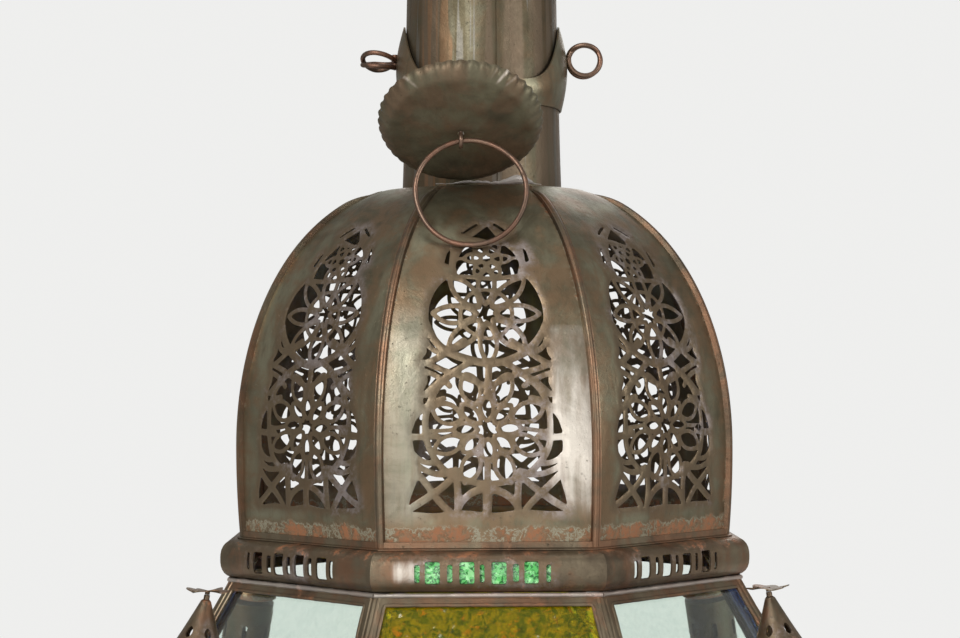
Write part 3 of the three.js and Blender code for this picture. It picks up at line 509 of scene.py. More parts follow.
class Value:
    """Socket of a shader with arithmetic: each operation adds a Math node."""

    def __init__(self, maker: NodeMaker, socket: bpy.types.NodeSocket) -> None:
        """Wraps a socket of the maker's tree."""
        self.maker = maker
        self.socket = socket

    def math(self, operation: str, *others: Any) -> Value:
        """The result of a Math node on this value and the others."""
        inputs = {i: other for i, other in enumerate((self, *others))}
        return self.maker.node("ShaderNodeMath", {"operation": operation}, inputs)[0]

    def __add__(self, other: Any) -> Value:
        """Sum."""
        return self.math("ADD", other)

    __radd__ = __add__

    def __mul__(self, other: Any) -> Value:
        """Product."""
        return self.math("MULTIPLY", other)

    def __sub__(self, other: Any) -> Value:
        """Difference."""
        return self.math("SUBTRACT", other)

    def __rsub__(self, other: Any) -> Value:
        """Difference with this value last."""
        return self.maker.node("ShaderNodeMath", {"operation": "SUBTRACT"}, {0: other, 1: self})[0]

    def clamp(self) -> Value:
        """The value held between 0 and 1."""
        return self.maker.node("ShaderNodeClamp", {}, {"Value": self})[0]

    def step(self, low: float, high: float) -> Value:
        """0 below low, 1 above high and a smooth rise between them."""
        settings = {"interpolation_type": "SMOOTHSTEP", "clamp": True}
        inputs = {"Value": self, "From Min": low, "From Max": high}
        return self.maker.node("ShaderNodeMapRange", settings, inputs)[0]


class NodeMaker:
    """Adds nodes to one material or world."""

    def __init__(self, tree: bpy.types.NodeTree) -> None:
        """Clears the tree and keeps it."""
        self.tree = tree
        tree.nodes.clear()

    def node(self, kind: str, settings: dict[str, Any], inputs: dict[Any, Any]) -> list[Value]:
        """Adds a node.

        Args:
            kind: Blender's name of the node type.
            settings: Attributes of the node.
            inputs: Socket name or number to a number, a colour, a vector or a Value.

        Returns:
            The node's outputs.
        """
        made = self.tree.nodes.new(kind)
        for name, value in settings.items():
            setattr(made, name, value)
        for name, value in inputs.items():
            if isinstance(value, Value):
                self.tree.links.new(value.socket, made.inputs[name])
            elif isinstance(value, tuple) and len(value) == 3 and made.inputs[name].type == "RGBA":
                made.inputs[name].default_value = (*value, 1.0)
            else:
                made.inputs[name].default_value = value
        return [Value(self, socket) for socket in made.outputs]

    def position(self) -> Value:
        """The point of the surface in the object's own coordinates."""
        return self.node("ShaderNodeTexCoord", {}, {})[3]

    def stretched(self, vector: Value, scale: Point) -> Value:
        """A vector multiplied by a scale for each axis."""
        return self.node("ShaderNodeVectorMath", {"operation": "MULTIPLY"}, {0: vector, 1: scale})[0]

    def noise(self, vector: Value, scale: float, detail: float = 4.0, twist: float = 0.0, rough: float = 0.55) -> Value:
        """A fractal noise between 0 and 1 with that many features per metre."""
        inputs = {"Vector": vector, "Scale": scale, "Detail": detail, "Distortion": twist, "Roughness": rough}
        return self.node("ShaderNodeTexNoise", {}, inputs)[0]

    def cells(self, vector: Value, scale: float) -> Value:
        """The smoothed distance to the nearest of scattered points."""
        return self.node("ShaderNodeTexVoronoi", {"feature": "SMOOTH_F1"}, {"Vector": vector, "Scale": scale})[0]

    def mark(self, name: str) -> Value:
        """A number stored at the points of the mesh."""
        return self.node("ShaderNodeAttribute", {"attribute_name": name}, {})[2]

    def mix(self, share: Any, first: Any, second: Any) -> Value:
        """The blend of two colours."""
        made = self.tree.nodes.new("ShaderNodeMix")
        made.data_type = "RGBA"
        for socket, value in zip((made.inputs[0], made.inputs[6], made.inputs[7]), (share, first, second)):
            if isinstance(value, Value):
                self.tree.links.new(value.socket, socket)
            else:
                socket.default_value = (*value, 1.0) if isinstance(value, tuple) else value
        return Value(self, made.outputs[2])

    def bump(self, height: Value) -> Value:
        """The surface's normal, tilted by a height in metres."""
        return self.node("ShaderNodeBump", {}, {"Height": height, "Distance": 1.0, "Strength": 1.0})[0]

    def surface(self, shader: Value) -> None:
        """Connects a shader to the output."""
        kind = "ShaderNodeOutputWorld" if shader.socket.node.type == "BACKGROUND" else "ShaderNodeOutputMaterial"
        self.node(kind, {}, {"Surface": shader})

    def principled(self, inputs: dict[str, Any]) -> None:
        """Adds a principled shader and connects it to the output."""
        self.surface(self.node("ShaderNodeBsdfPrincipled", {}, inputs)[0])


def blank_material(name: str) -> tuple[bpy.types.Material, NodeMaker]:
    """A new material and the maker of its nodes."""
    material = bpy.data.materials.new(name)
    material.use_nodes = True
    return material, NodeMaker(material.node_tree)


@dataclass(frozen=True)
class MetalFinish:
    """Aged sheet metal.

    The mesh may carry six marks: edge (near a cut), stain (near a seam), a mark for painted highlights, solder
    (pale lumps), a mark for the tube's tone bands and painted vertical sheen along Z, and pale (grey bloom).

    Attributes:
        base: Colour of the patina.
        dark: Colour of its darker patches.
        warm: Brown of its tarnish.
        rust: Colour of rust or copper that shows through.
        rust_level: Noise level above which rust shows: lower shows more.
        bar: Colour of the narrow bars between cuts.
        bar_highlight: Colour of the painted highlights on them.
        bloom: Colour of the grey bloom.
        tube_tones_and_sheens: Colours of the tube's tone bands and painted vertical sheen in the order they are laid,
            its ground first.
        crust: Pale line round the rust.
        highlight_colour: Colour of the painted highlight.
        peak_highlight_colour: Colour of the painted highlight's brightest streaks.
        solder: Colour of solder.
        metallic: How metallic the clean metal is.
        roughness: Mean roughness.
        dents: Depth of the broad dents, in metres.
        grain: Depth of the fine grain, in metres.
    """

    name: str
    base: Colour
    dark: Colour
    warm: Colour
    rust: Colour
    rust_level: float = 0.66
    bar: Colour = (0.155, 0.11, 0.068)
    bar_highlight: Colour = (0.37, 0.335, 0.34)
    bloom: Colour = (0.37, 0.36, 0.285)
    tube_tones_and_sheens: tuple[Colour, ...] = (
        (0.06, 0.045, 0.025), (0.17, 0.125, 0.085), (0.07, 0.055, 0.028), (0.24, 0.13, 0.065), (0.2, 0.19, 0.17),
    )
    crust: Colour = (0.3, 0.32, 0.24)
    highlight_colour: Colour = (0.4, 0.33, 0.27)
    peak_highlight_colour: Colour = (0.64, 0.585, 0.51)
    solder: Colour = (0.62, 0.58, 0.55)
    metallic: float = 0.85
    roughness: float = 0.42
    dents: float = 0.0012
    grain: float = 0.00014

    def material(self) -> bpy.types.Material:
        """The finish as a procedural material: coats of colour, each laid over the last."""
        material, make = blank_material(self.name)
        place = make.position()
        patches = make.noise(place, 19, 5, 0.5)
        clouds = make.noise(make.stretched(place, (1.0, 1.0, 0.7)), 62, 8, 0.9, 0.66)
        streaks = make.noise(make.stretched(place, (1.0, 1.0, 0.06)), 240, 5)
        bands = make.noise(make.stretched(place, (0.15, 0.15, 1.0)), 150, 4)
        spots = make.noise(place, 430, 6, 0.0, 0.7)
        columns = make.noise(make.stretched(place, (1.0, 1.0, 0.04)), 48, 3, 0.3)
        wide = make.noise(make.stretched(place, (1.0, 1.0, 0.02)), 52, 2)
        fine = make.noise(make.stretched(place, (1.0, 1.0, 0.03)), 140, 3)
        broad = make.noise(place, 34, 2)
        names = ("edge", "stain", "wear", "solder", "drawn", "pale")
        edge, stain, wear, solder, drawn, pale = (make.mark(name) for name in names)

        tarnish = clouds * 0.4 + bands * 0.2 + columns * 0.4
        # Painted highlights on the bars
        bar_highlight = edge * (patches * 0.5 + clouds * 0.3 + spots * 0.2).step(0.5, 0.6)
        cover = (clouds * 0.5 + streaks * 0.3 + bands * 0.2).step(0.3, 0.62)
        level = clouds * 0.62 + spots * 0.28 + patches * 0.1 + stain * 0.21 + edge * 0.015
        rust = level.step(self.rust_level, self.rust_level + 0.1)
        ember = make.mix((spots * 0.6 + clouds * 0.4).step(0.44, 0.6), self.warm, self.rust)
        crust = (1.0 - (level - self.rust_level).math("ABSOLUTE") * 38.0).clamp() * stain.step(0.25, 0.8)
        # Painted highlight: where it covers, and where its brightest streaks lie
        highlight_cover = (wear * (0.2 + streaks * 0.9 + clouds * 0.7 + spots * 0.2)).step(0.2, 1.1)
        highlight_peak = (streaks * 0.45 + clouds * 0.3 + wear * 0.25).step(0.42, 0.66)
        pits = spots.step(0.62, 0.72)
        coats: list[tuple[Value, Any]] = [
            # Darker patches, brown tarnish, the bars and their painted highlights, grey bloom
            ((patches * 0.6 + columns * 0.4).step(0.38, 0.62), self.dark),
            (tarnish.step(0.44, 0.58) * 0.75, self.warm),
            ((edge * 1.6 + spots * 0.5 - 0.45).clamp() * 0.85, self.bar),
            (bar_highlight * 0.6, self.bar_highlight),
            (pale * cover, self.bloom),
            # Ground of the tube, its tone bands and its painted vertical sheen
            (drawn * 0.55, self.tube_tones_and_sheens[0]),
            (drawn * wide.step(0.51, 0.56) * 0.75, self.tube_tones_and_sheens[1]),
            (drawn * (wide * 0.6 + fine * 0.4).step(0.46, 0.42) * 0.7, self.tube_tones_and_sheens[2]),
            (drawn * fine.step(0.61, 0.65) * 0.55, self.tube_tones_and_sheens[3]),
            (drawn * fine.step(0.4, 0.36) * 0.5, self.tube_tones_and_sheens[4]),
            # Dark streaks, stains at the seams, rust and the crust round it
            (streaks.step(0.5, 0.75) * 0.35, self.dark),
            ((stain * (0.5 + clouds)).step(0.2, 1.0) * 0.7, self.warm),
            (rust * 0.85, ember),
            (crust * 0.6, self.crust),
            # Painted highlights, solder and pits
            (highlight_cover * 0.9, make.mix(highlight_peak, self.highlight_colour, self.peak_highlight_colour)),
            (solder.step(0.2, 0.8) * 0.8, self.solder),
            (pits * 0.5, self.dark),
        ]
        colour: Any = self.base
        for share, coat in coats:
            colour = make.mix(share, colour, coat)

        roughness = self.roughness + (patches - 0.5) * 0.35 + rust * 0.22 + (spots - 0.5) * 0.25 - highlight_cover * 0.08
        roughness = roughness + drawn * 0.08 + pale * 0.06
        metallic = self.metallic - rust * 0.5 - crust * 0.6 - solder * 0.3 - highlight_cover * 0.35
        height = broad * self.dents + clouds * self.dents * 0.22 + (spots - pits) * self.grain + rust * self.grain
        inputs = {"Base Color": colour, "Metallic": metallic.clamp(), "Roughness": roughness.clamp()}
        make.principled({**inputs, "Normal": make.bump(height)})
        return material


@dataclass(frozen=True)
class GlassFinish:
    """Hand-made coloured glass.

    Attributes:
        colour: Colour of light that passes.
        second: Colour of its streaks.
        fleck: Colour of its small flecks.
        flecks: Noise level above which flecks show: 1 for none.
        swirl: Swirls per metre.
        cells: Hammer marks per metre, 0 for smooth glass.
        depth: Depth of the hammer marks, in metres.
        roughness: Roughness of its skin.
        clear: How much light passes rather than scatters.
    """

    name: str
    colour: Colour
    second: Colour
    fleck: Colour = (0.9, 0.9, 0.9)
    flecks: float = 1.0
    swirl: float = 95.0
    cells: float = 0.0
    depth: float = 0.0006
    roughness: float = 0.05
    clear: float = 1.0

    def material(self) -> bpy.types.Material:
        """The finish as a procedural material."""
        material, make = blank_material(self.name)
        place = make.position()
        swirl = make.noise(place, self.swirl, 4, 2.4)
        colour = make.mix(swirl.step(0.44, 0.6), self.colour, self.second)
        flecks = make.noise(place, 210, 3, 1.2).step(self.flecks, self.flecks + 0.05)
        colour = make.mix(flecks, colour, self.fleck)
        bent = make.noise(place, 60, 3, 1.0) * 0.35
        marks = make.cells(place, self.cells) if self.cells else make.noise(place, 30, 2)
        inputs = {"Base Color": colour, "Roughness": self.roughness, "Transmission Weight": self.clear, "IOR": 1.45}
        make.principled({**inputs, "Normal": make.bump((marks + bent) * self.depth)})
        return material


class Slot(Enum):
    """Material slots of the record, with their finishes."""

    AGED_TIN = MetalFinish(
        "aged_tin", (0.23, 0.215, 0.145), (0.088, 0.075, 0.045), (0.2, 0.125, 0.07), (0.29, 0.115, 0.048)
    )
    DARK_TIN = MetalFinish(
        "dark_tin", (0.145, 0.13, 0.082), (0.065, 0.053, 0.032), (0.145, 0.093, 0.055), (0.28, 0.11, 0.05), 0.62,
        metallic=0.7, roughness=0.52, dents=0.0008,
    )
    RUSTED_TIN = MetalFinish(
        "rusted_tin", (0.18, 0.145, 0.095), (0.08, 0.06, 0.04), (0.22, 0.115, 0.065), (0.3, 0.12, 0.05), 0.6
    )
    COPPER_WIRE = MetalFinish(
        "copper_wire", (0.18, 0.115, 0.08), (0.08, 0.055, 0.04), (0.26, 0.13, 0.085), (0.34, 0.15, 0.08), 0.6,
        dents=0.0003,
    )
    YELLOW_GLASS = GlassFinish(
        "yellow_glass", (0.56, 0.44, 0.008), (0.19, 0.24, 0.005), (0.85, 0.36, 0.01), 0.6, 150, 170, 0.0009, 0.12, 0.85
    )
    CLEAR_GLASS = GlassFinish("clear_glass", (0.9, 0.97, 0.92), (0.86, 0.94, 0.89), depth=0.00002, roughness=0.02)
    BLUE_GLASS = GlassFinish("blue_glass", (0.12, 0.22, 0.6), (0.08, 0.15, 0.48), depth=0.0004)
    GREEN_GLASS = GlassFinish(
        "green_glass", (0.17, 0.72, 0.2), (0.015, 0.15, 0.03), (0.4, 0.92, 0.4), 0.56, 290, 220, 0.0009, 0.12, 0.3
    )


# --- Workshop: seats each piece on the frame ---


def linked(name: str, data: Any) -> bpy.types.Object:
    """A new object with the data, linked to the scene."""
    made = bpy.data.objects.new(name, data)
    bpy.context.scene.collection.objects.link(made)
    return made


class Workshop:
    """Turns shapes into objects, dresses them, and seats each on a body of the frame."""

    def __init__(self, frame: dict[str, Any]) -> None:
        """Makes the materials and keeps the frame."""
        self.frame = frame
        self.materials = {slot: slot.value.material() for slot in Slot}
        self.by_name = {slot.value.name: slot for slot in Slot}

    def add(
        self,
        name: str,
        shape: Shape,
        slot: Slot,
        body: str = "lantern",
        replaces: Sequence[str] = (),
        crease: float = 32.0,
    ) -> None:
        """Adds one piece.

        Args:
            name: Name of the piece.
            shape: Its shape in millimetres.
            slot: The finish.
            body: The body that it rides on.
            replaces: CAD nodes that it stands for.
            crease: Angle in degrees above which an edge stays sharp.
        """
        mesh = bpy.data.meshes.new(name)
        sizes = np.concatenate([np.full(len(block), block.shape[1]) for block in shape.faces])
        loops = np.concatenate([block.ravel() for block in shape.faces])
        mesh.vertices.add(len(shape.points))
        mesh.vertices.foreach_set("co", (shape.points * MM).astype(np.float32).ravel())
        mesh.loops.add(len(loops))
        mesh.loops.foreach_set("vertex_index", loops.astype(np.int32))
        mesh.polygons.add(len(sizes))
        mesh.polygons.foreach_set("loop_start", (np.cumsum(sizes) - sizes).astype(np.int32))
        mesh.polygons.foreach_set("use_smooth", np.ones(len(sizes), bool))
        for mark, values in shape.marks.items():
            mesh.attributes.new(mark, "FLOAT", "POINT").data.foreach_set("value", values.astype(np.float32))
        mesh.update(calc_edges=True)
        mesh.validate()
        mesh.set_sharp_from_angle(angle=math.radians(crease))
        mesh.materials.append(self.materials[slot])
        piece = linked(name, mesh)
        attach(piece, body)
        if replaces:
            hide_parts(*replaces)
        LOG.info("%s: %d faces on %s", name, len(sizes), body)

    def dress(self, bevel_width: float = 0.45, bevel_angle: float = 42.0) -> None:
        """Gives each CAD node that still shows its slot's finish, and bevels the metal ones.

        Args:
            bevel_width: Width of the bevel.
            bevel_angle: Angle in degrees above which an edge gets it.
        """
        slots = {row["node"]: row["material_slot"] for row in self.frame["record"]["subparts"]}
        for name, node in self.frame["nodes"].items():
            if node.hide_render:
                continue
            node.data.materials.clear()
            node.data.materials.append(self.materials[self.by_name[slots[name]]])
            if "glass" not in slots[name]:
                bevel = node.modifiers.new("edges", "BEVEL")
                bevel.width, bevel.segments, bevel.limit_method = bevel_width * MM, 2, "ANGLE"
                bevel.angle_limit = math.radians(bevel_angle)
            LOG.info("%s: dressed as %s", name, slots[name])


# --- Dome ---


@dataclass(frozen=True)
class DomeProfile:
    """Curve of the dome's corners, and the flat faces between them.

    Below the belly the radius grows with the square of the height; above it follows a
    superellipse: radius = belly radius (1 - (height above belly / rise)^2)^(1 / roundness).
    """

    foot: float = 338.0
    face_width: float = 110.0
    belly: float = 2.3
    belly_height: float = 50.0
    rise: float = 150.5
    roundness: float = 2.8
    top: float = 192.9
    steps: int = 600

    @property
    def base_radius(self) -> float:
        """Radius of the corners at the foot."""
        return self.face_width / 2 / math.sin(HALF_SECTOR)

    def radius(self, height: Array) -> Array:
        """The radius of the corners at each height."""
        widest = self.base_radius + self.belly
        low = widest - self.belly * (1 - np.minimum(height, self.belly_height) / self.belly_height) ** 2
        share = np.clip((height - self.belly_height) / self.rise, 0, 0.9999)
        return np.where(height < self.belly_height, low, widest * (1 - share**2) ** (1 / self.roundness))

    def heights(self, low: float, high: float, count: int) -> Array:
        """Heights whose spacing narrows towards the top."""
        top = math.asin(min(1.0, (high - low) / (self.rise + self.belly_height - low)))
        return low + (self.rise + self.belly_height - low) * np.sin(np.linspace(0, top, count))

    def along_face(self) -> tuple[Array, Array, Array]:
        """Stations along the middle of a face, with its distance from the axis and its height there."""
        height = self.heights(0.0, self.top + 2, self.steps)
        out = self.radius(height) * math.cos(HALF_SECTOR)
        station = np.concatenate([[0.0], np.cumsum(np.hypot(np.diff(out), np.diff(height)))])
        return station, out, height

    def place(self, u: Array, s: Array, t: Array) -> Array:
        """Points of the front face: u sideways, s along the face from the foot, t outwards."""
        station, out, height = self.along_face()
        slope_out, slope_up = np.gradient(out, station), np.gradient(height, station)
        o, h = np.interp(s, station, out), np.interp(s, station, height)
        normal_out, normal_up = np.interp(s, station, slope_up), -np.interp(s, station, slope_out)
        return np.stack([u, -(o + normal_out * t), self.foot + h + normal_up * t], axis=-1)

    def half_width(self, s: Array, seam: float) -> Array:
        """Half the width of a face at each station, less the seam."""
        station, out, _ = self.along_face()
        return (np.interp(s, station, out) - 1.0) * math.tan(HALF_SECTOR) - seam / math.cos(HALF_SECTOR)


@dataclass(frozen=True)
class Circle:
    """Bar of the filigree along a whole circle."""

    u: float
    s: float
    radius: float
    width: float = 2.4

    def gap(self, u: Array, s: Array) -> Array:
        """The distance to the bar's edge, negative inside it."""
        return np.abs(np.hypot(u - self.u, s - self.s) - self.radius) - self.width / 2


@dataclass(frozen=True)
class Bar:
    """Bar of the filigree along the arc from one point through a second to a third.

    The arc's circle has its centre where the perpendicular bisectors of the two chords meet. A
    point beside the arc is as far as the circle, and a point beyond its ends as far as the nearer
    end. Three points in a line make a straight bar.
    """

    start: Pair
    middle: Pair
    end: Pair
    width: float = 2.8

    def gap(self, u: Array, s: Array) -> Array:
        """The distance to the bar's edge, negative inside it."""
        a, b, c = (complex(*point) for point in (self.start, self.middle, self.end))
        at = u + 1j * s
        ends = np.minimum(np.abs(at - a), np.abs(at - c))
        twist = ((b - a).conjugate() * (c - a)).imag
        if abs(twist) < 0.5:
            along = (c - a) / abs(c - a)
            share = ((at - a) * along.conjugate()).real / abs(c - a)
            away = np.abs(((at - a) * along.conjugate()).imag)
            return np.where((share > 0) & (share < 1), away, ends) - self.width / 2
        p, q = b - a, c - a
        centre = a + (abs(p) ** 2 * q - abs(q) ** 2 * p) / (2j * (p.conjugate() * q).imag)
        radius = abs(a - centre)
        span = np.angle((c - centre) / (a - centre))
        through = np.angle((b - centre) / (a - centre))
        if span * through < 0 or abs(through) > abs(span):
            span -= math.copysign(TURN, span)
        turn = np.angle((at - centre) / (a - centre))
        turn = np.where(turn * span < 0, turn + math.copysign(TURN, span), turn)
        return np.where(np.abs(turn) <= abs(span), np.abs(np.abs(at - centre) - radius), ends) - self.width / 2

    def mirrored(self) -> Bar:
        """The bar on the other side of the middle."""
        flip = [(-u, s) for u, s in (self.start, self.middle, self.end)]
        return Bar(*flip, self.width)


@dataclass(frozen=True)
class Patch:
    """Area with straight sides, given anticlockwise as (u, s) corners."""

    corners: tuple[Pair, ...]

    def depth(self, u: Array, s: Array) -> Array:
        """The distance to the outline, positive inside.

        The distance is the least to any side; a point is inside when a ray from it crosses the
        outline an odd number of times.
        """
        nearest, inside = np.full(np.shape(u), FAR), np.zeros(np.shape(u), bool)
        for (u0, s0), (u1, s1) in zip(self.corners, self.corners[1:] + self.corners[:1]):
            du, ds = u1 - u0, s1 - s0
            share = np.clip(((u - u0) * du + (s - s0) * ds) / (du * du + ds * ds), 0, 1)
            nearest = np.minimum(nearest, np.hypot(u - u0 - share * du, s - s0 - share * ds))
            if ds:
                crosses = ((s0 > s) != (s1 > s)) & (u < du * (s - s0) / ds + u0)
                inside ^= crosses
        return np.where(inside, nearest, -nearest)

    def mirrored(self) -> Patch:
        """The area on the other side of the middle."""
        return Patch(tuple((-u, s) for u, s in reversed(self.corners)))


def petals(s: float, reach: float, eye: float, count: int, lean: float, width: float, turn: float = 0.0) -> list[Bar]:
    """Pointed petals round (0, s): each is two arcs from the eye to the reach.

    A petal is widest at 0.52 of the eye's and the reach's sum.

    Args:
        s: Station of the rosette's centre.
        reach: Distance from the centre to the petals' tips.
        eye: Distance from the centre to their feet.
        count: Number of petals.
        lean: Angle between a petal's axis and the middle of its sides, in radians.
        width: Width of the bars.
        turn: Direction of the first petal.
    """

    def at(distance: float, angle: float) -> Pair:
        return distance * math.sin(angle), s + distance * math.cos(angle)

    bars = []
    for k in range(count):
        axis = turn + TURN * k / count
        for side in (-lean, lean):
            bars.append(Bar(at(eye, axis), at((eye + reach) * 0.52, axis + side), at(reach, axis), width))
    return bars


# Arcs of the filigree: start, a point between, end, and the bar's width
MIDDLE_ARCS: tuple[tuple[Pair, Pair, Pair, float], ...] = (
    # Foot and top of the upper rosette, upright of the lens below it
    ((-30.5, 116), (0, 95.0), (30.5, 116), 4.2),
    ((-21, 142.8), (0, 142.2), (21, 142.8), 2.6),
    ((0, 96), (0.3, 88), (0, 79), 3.8),
    # Uprights of the lower rosette, top of the small one
    ((0, 82), (0, 80), (0, 78), 2.6),
    ((0, 46), (0, 42), (0, 33), 3.0),
    ((-10, 166.5), (0, 165.2), (10, 165.0), 2.4),
    # Foot row
    ((-15.5, 20.5), (0, 30.8), (15.5, 20.5), 3.6),
    ((0, 18), (0, 24), (0, 31), 4.6),
    ((-19, 40), (0, 33.2), (19, 40), 3.0),
)
RIGHT_ARCS: tuple[tuple[Pair, Pair, Pair, float], ...] = (
    # Rim of the upper rosette and the corner beside it
    ((30.5, 116), (29.5, 131), (19.5, 144), 3.0),
    ((31, 112), (28.5, 104), (20, 101.5), 2.8),
    # Diamond beside the lens
    ((33, 94.5), (22, 100.5), (12, 107.5), 3.2),
    ((35, 96.2), (18, 89.8), (0, 83.0), 3.0),
    ((9, 95.2), (17.5, 90.3), (31.5, 79), 3.2),
    # Rim of the lower rosette and its corners
    ((15, 91), (27.5, 79), (31.5, 62), 3.2),
    ((31.5, 62), (28.0, 46.5), (18, 37.5), 3.2),
    ((19, 83), (25, 87.5), (34, 91), 2.8),
    ((22, 77), (30, 74), (37, 67.5), 3.0),
    ((26, 58.3), (33, 57.6), (40, 57.6), 3.4),
    ((27, 44), (32, 44), (38, 48), 2.8),
    # Spokes beside the lower and the small rosette
    ((17, 61.5), (20, 61.4), (32, 60.8), 2.2),
    ((17, 154.5), (14, 154.6), (11.5, 154.4), 1.9),
    # Foot row
    ((15.8, 18), (15.2, 28), (16.5, 40), 3.8),
    ((19.5, 19.5), (27.5, 28.8), (36.5, 38), 3.6),
    ((41, 20), (27.5, 28.8), (16, 39), 3.6),
    ((17, 40), (26, 38.4), (36, 42), 3.0),
)


@dataclass(frozen=True)
class Filigree:
    """Pierced pattern of a gore: two large rosettes, a small one above and a row of crosses below.

    Attributes:
        outline: Right half of the openwork's outline, from its foot to its top.
        upper: Station of the upper rosette's centre.
        lower: Station of the lower rosette's centre.
        crown: Station of the small rosette's centre.
        uneven: How far the hand cutting strays, in millimetres.
    """

    outline: tuple[Pair, ...] = (
        (40.5, 19.6), (39.0, 27.0), (36.0, 36.0), (34.5, 41.5), (38.0, 50.0), (38.6, 60.0), (35.5, 68.0), (32.5, 73.5),
        (33.0, 80.5), (30.5, 85.0), (31.5, 91.0), (34.5, 95.5), (30.5, 101.5), (31.5, 109.5), (28.5, 113.0),
        (29.8, 118.0), (30.2, 123.0), (29.4, 128.0), (27.3, 133.0), (24.3, 137.8), (20.5, 142.0), (15.5, 143.5),
        (16.8, 149.5), (15.8, 154.5), (13.0, 160.0), (7.5, 166.5),
    )
    upper: float = 122.0
    lower: float = 61.5
    crown: float = 154.5
    uneven: float = 0.6

    def bars(self) -> list[Circle | Bar]:
        """The bars that stay between the holes: the rosettes, and arcs on and beside the middle."""
        middle, right = ([Bar(*row) for row in rows] for rows in (MIDDLE_ARCS, RIGHT_ARCS))
        rosettes: list[Circle | Bar] = [
            *petals(self.upper, 27.5, 4.6, 8, 0.27, 2.4),
            Circle(0, self.upper, 13.0, 2.0),
            # Round a small eye, and longer ones between them out to the rim
            *petals(self.lower, 17.5, 4.4, 8, 0.28, 2.1),
            *petals(self.lower, 30.0, 13.5, 8, 0.21, 2.2, math.pi / 8),
            *petals(self.crown, 12.5, 2.6, 6, 0.36, 1.9, math.pi / 6),
            Circle(0, self.crown, 7.6, 1.6),
        ]
        return [*rosettes, *middle, *right, *(bar.mirrored() for bar in right)]

    def cuts(self) -> list[Patch]:
        """The separate holes beside and above the rosettes."""
        roof = Patch(((-7.2, 168.4), (5.2, 165.8), (6.0, 168.8), (1.0, 176.5)))
        slit = Patch(((3.4, 177.6), (11.6, 171.2), (12.8, 171.8), (9.0, 175.4), (4.8, 178.6)))
        side = Patch(((20.0, 151.0), (22.3, 152.5), (20.9, 159.0), (18.9, 162.0), (19.6, 156.0)))
        return [roof, slit, slit.mirrored(), side, side.mirrored()]

    def holes(self, seed: int) -> Field:
        """The function that is positive in the holes of one gore.

        A hole is where the openwork's outline has room and every bar is away. The coordinates are
        first shifted by two seeded ripples, as a hand-held chisel would.
        """
        sideways, along = Ripple(seed, 34.0), Ripple(seed + 50, 30.0)
        left = tuple((-u, s) for u, s in reversed(self.outline))
        corners = rounded(self.outline + left, 1.8, 4)
        field, bars, cuts = Patch(tuple(map(tuple, corners))), self.bars(), self.cuts()

        def depth(u: Array, s: Array) -> Array:
            uu = u + self.uneven * sideways(u, s)
            ss = s + self.uneven * along(u, s)
            free = np.minimum.reduce([bar.gap(uu, ss) for bar in bars])
            inside = np.minimum(field.depth(uu, ss), free)
            return np.maximum.reduce([inside, *(cut.depth(uu, ss) for cut in cuts)])

        return depth


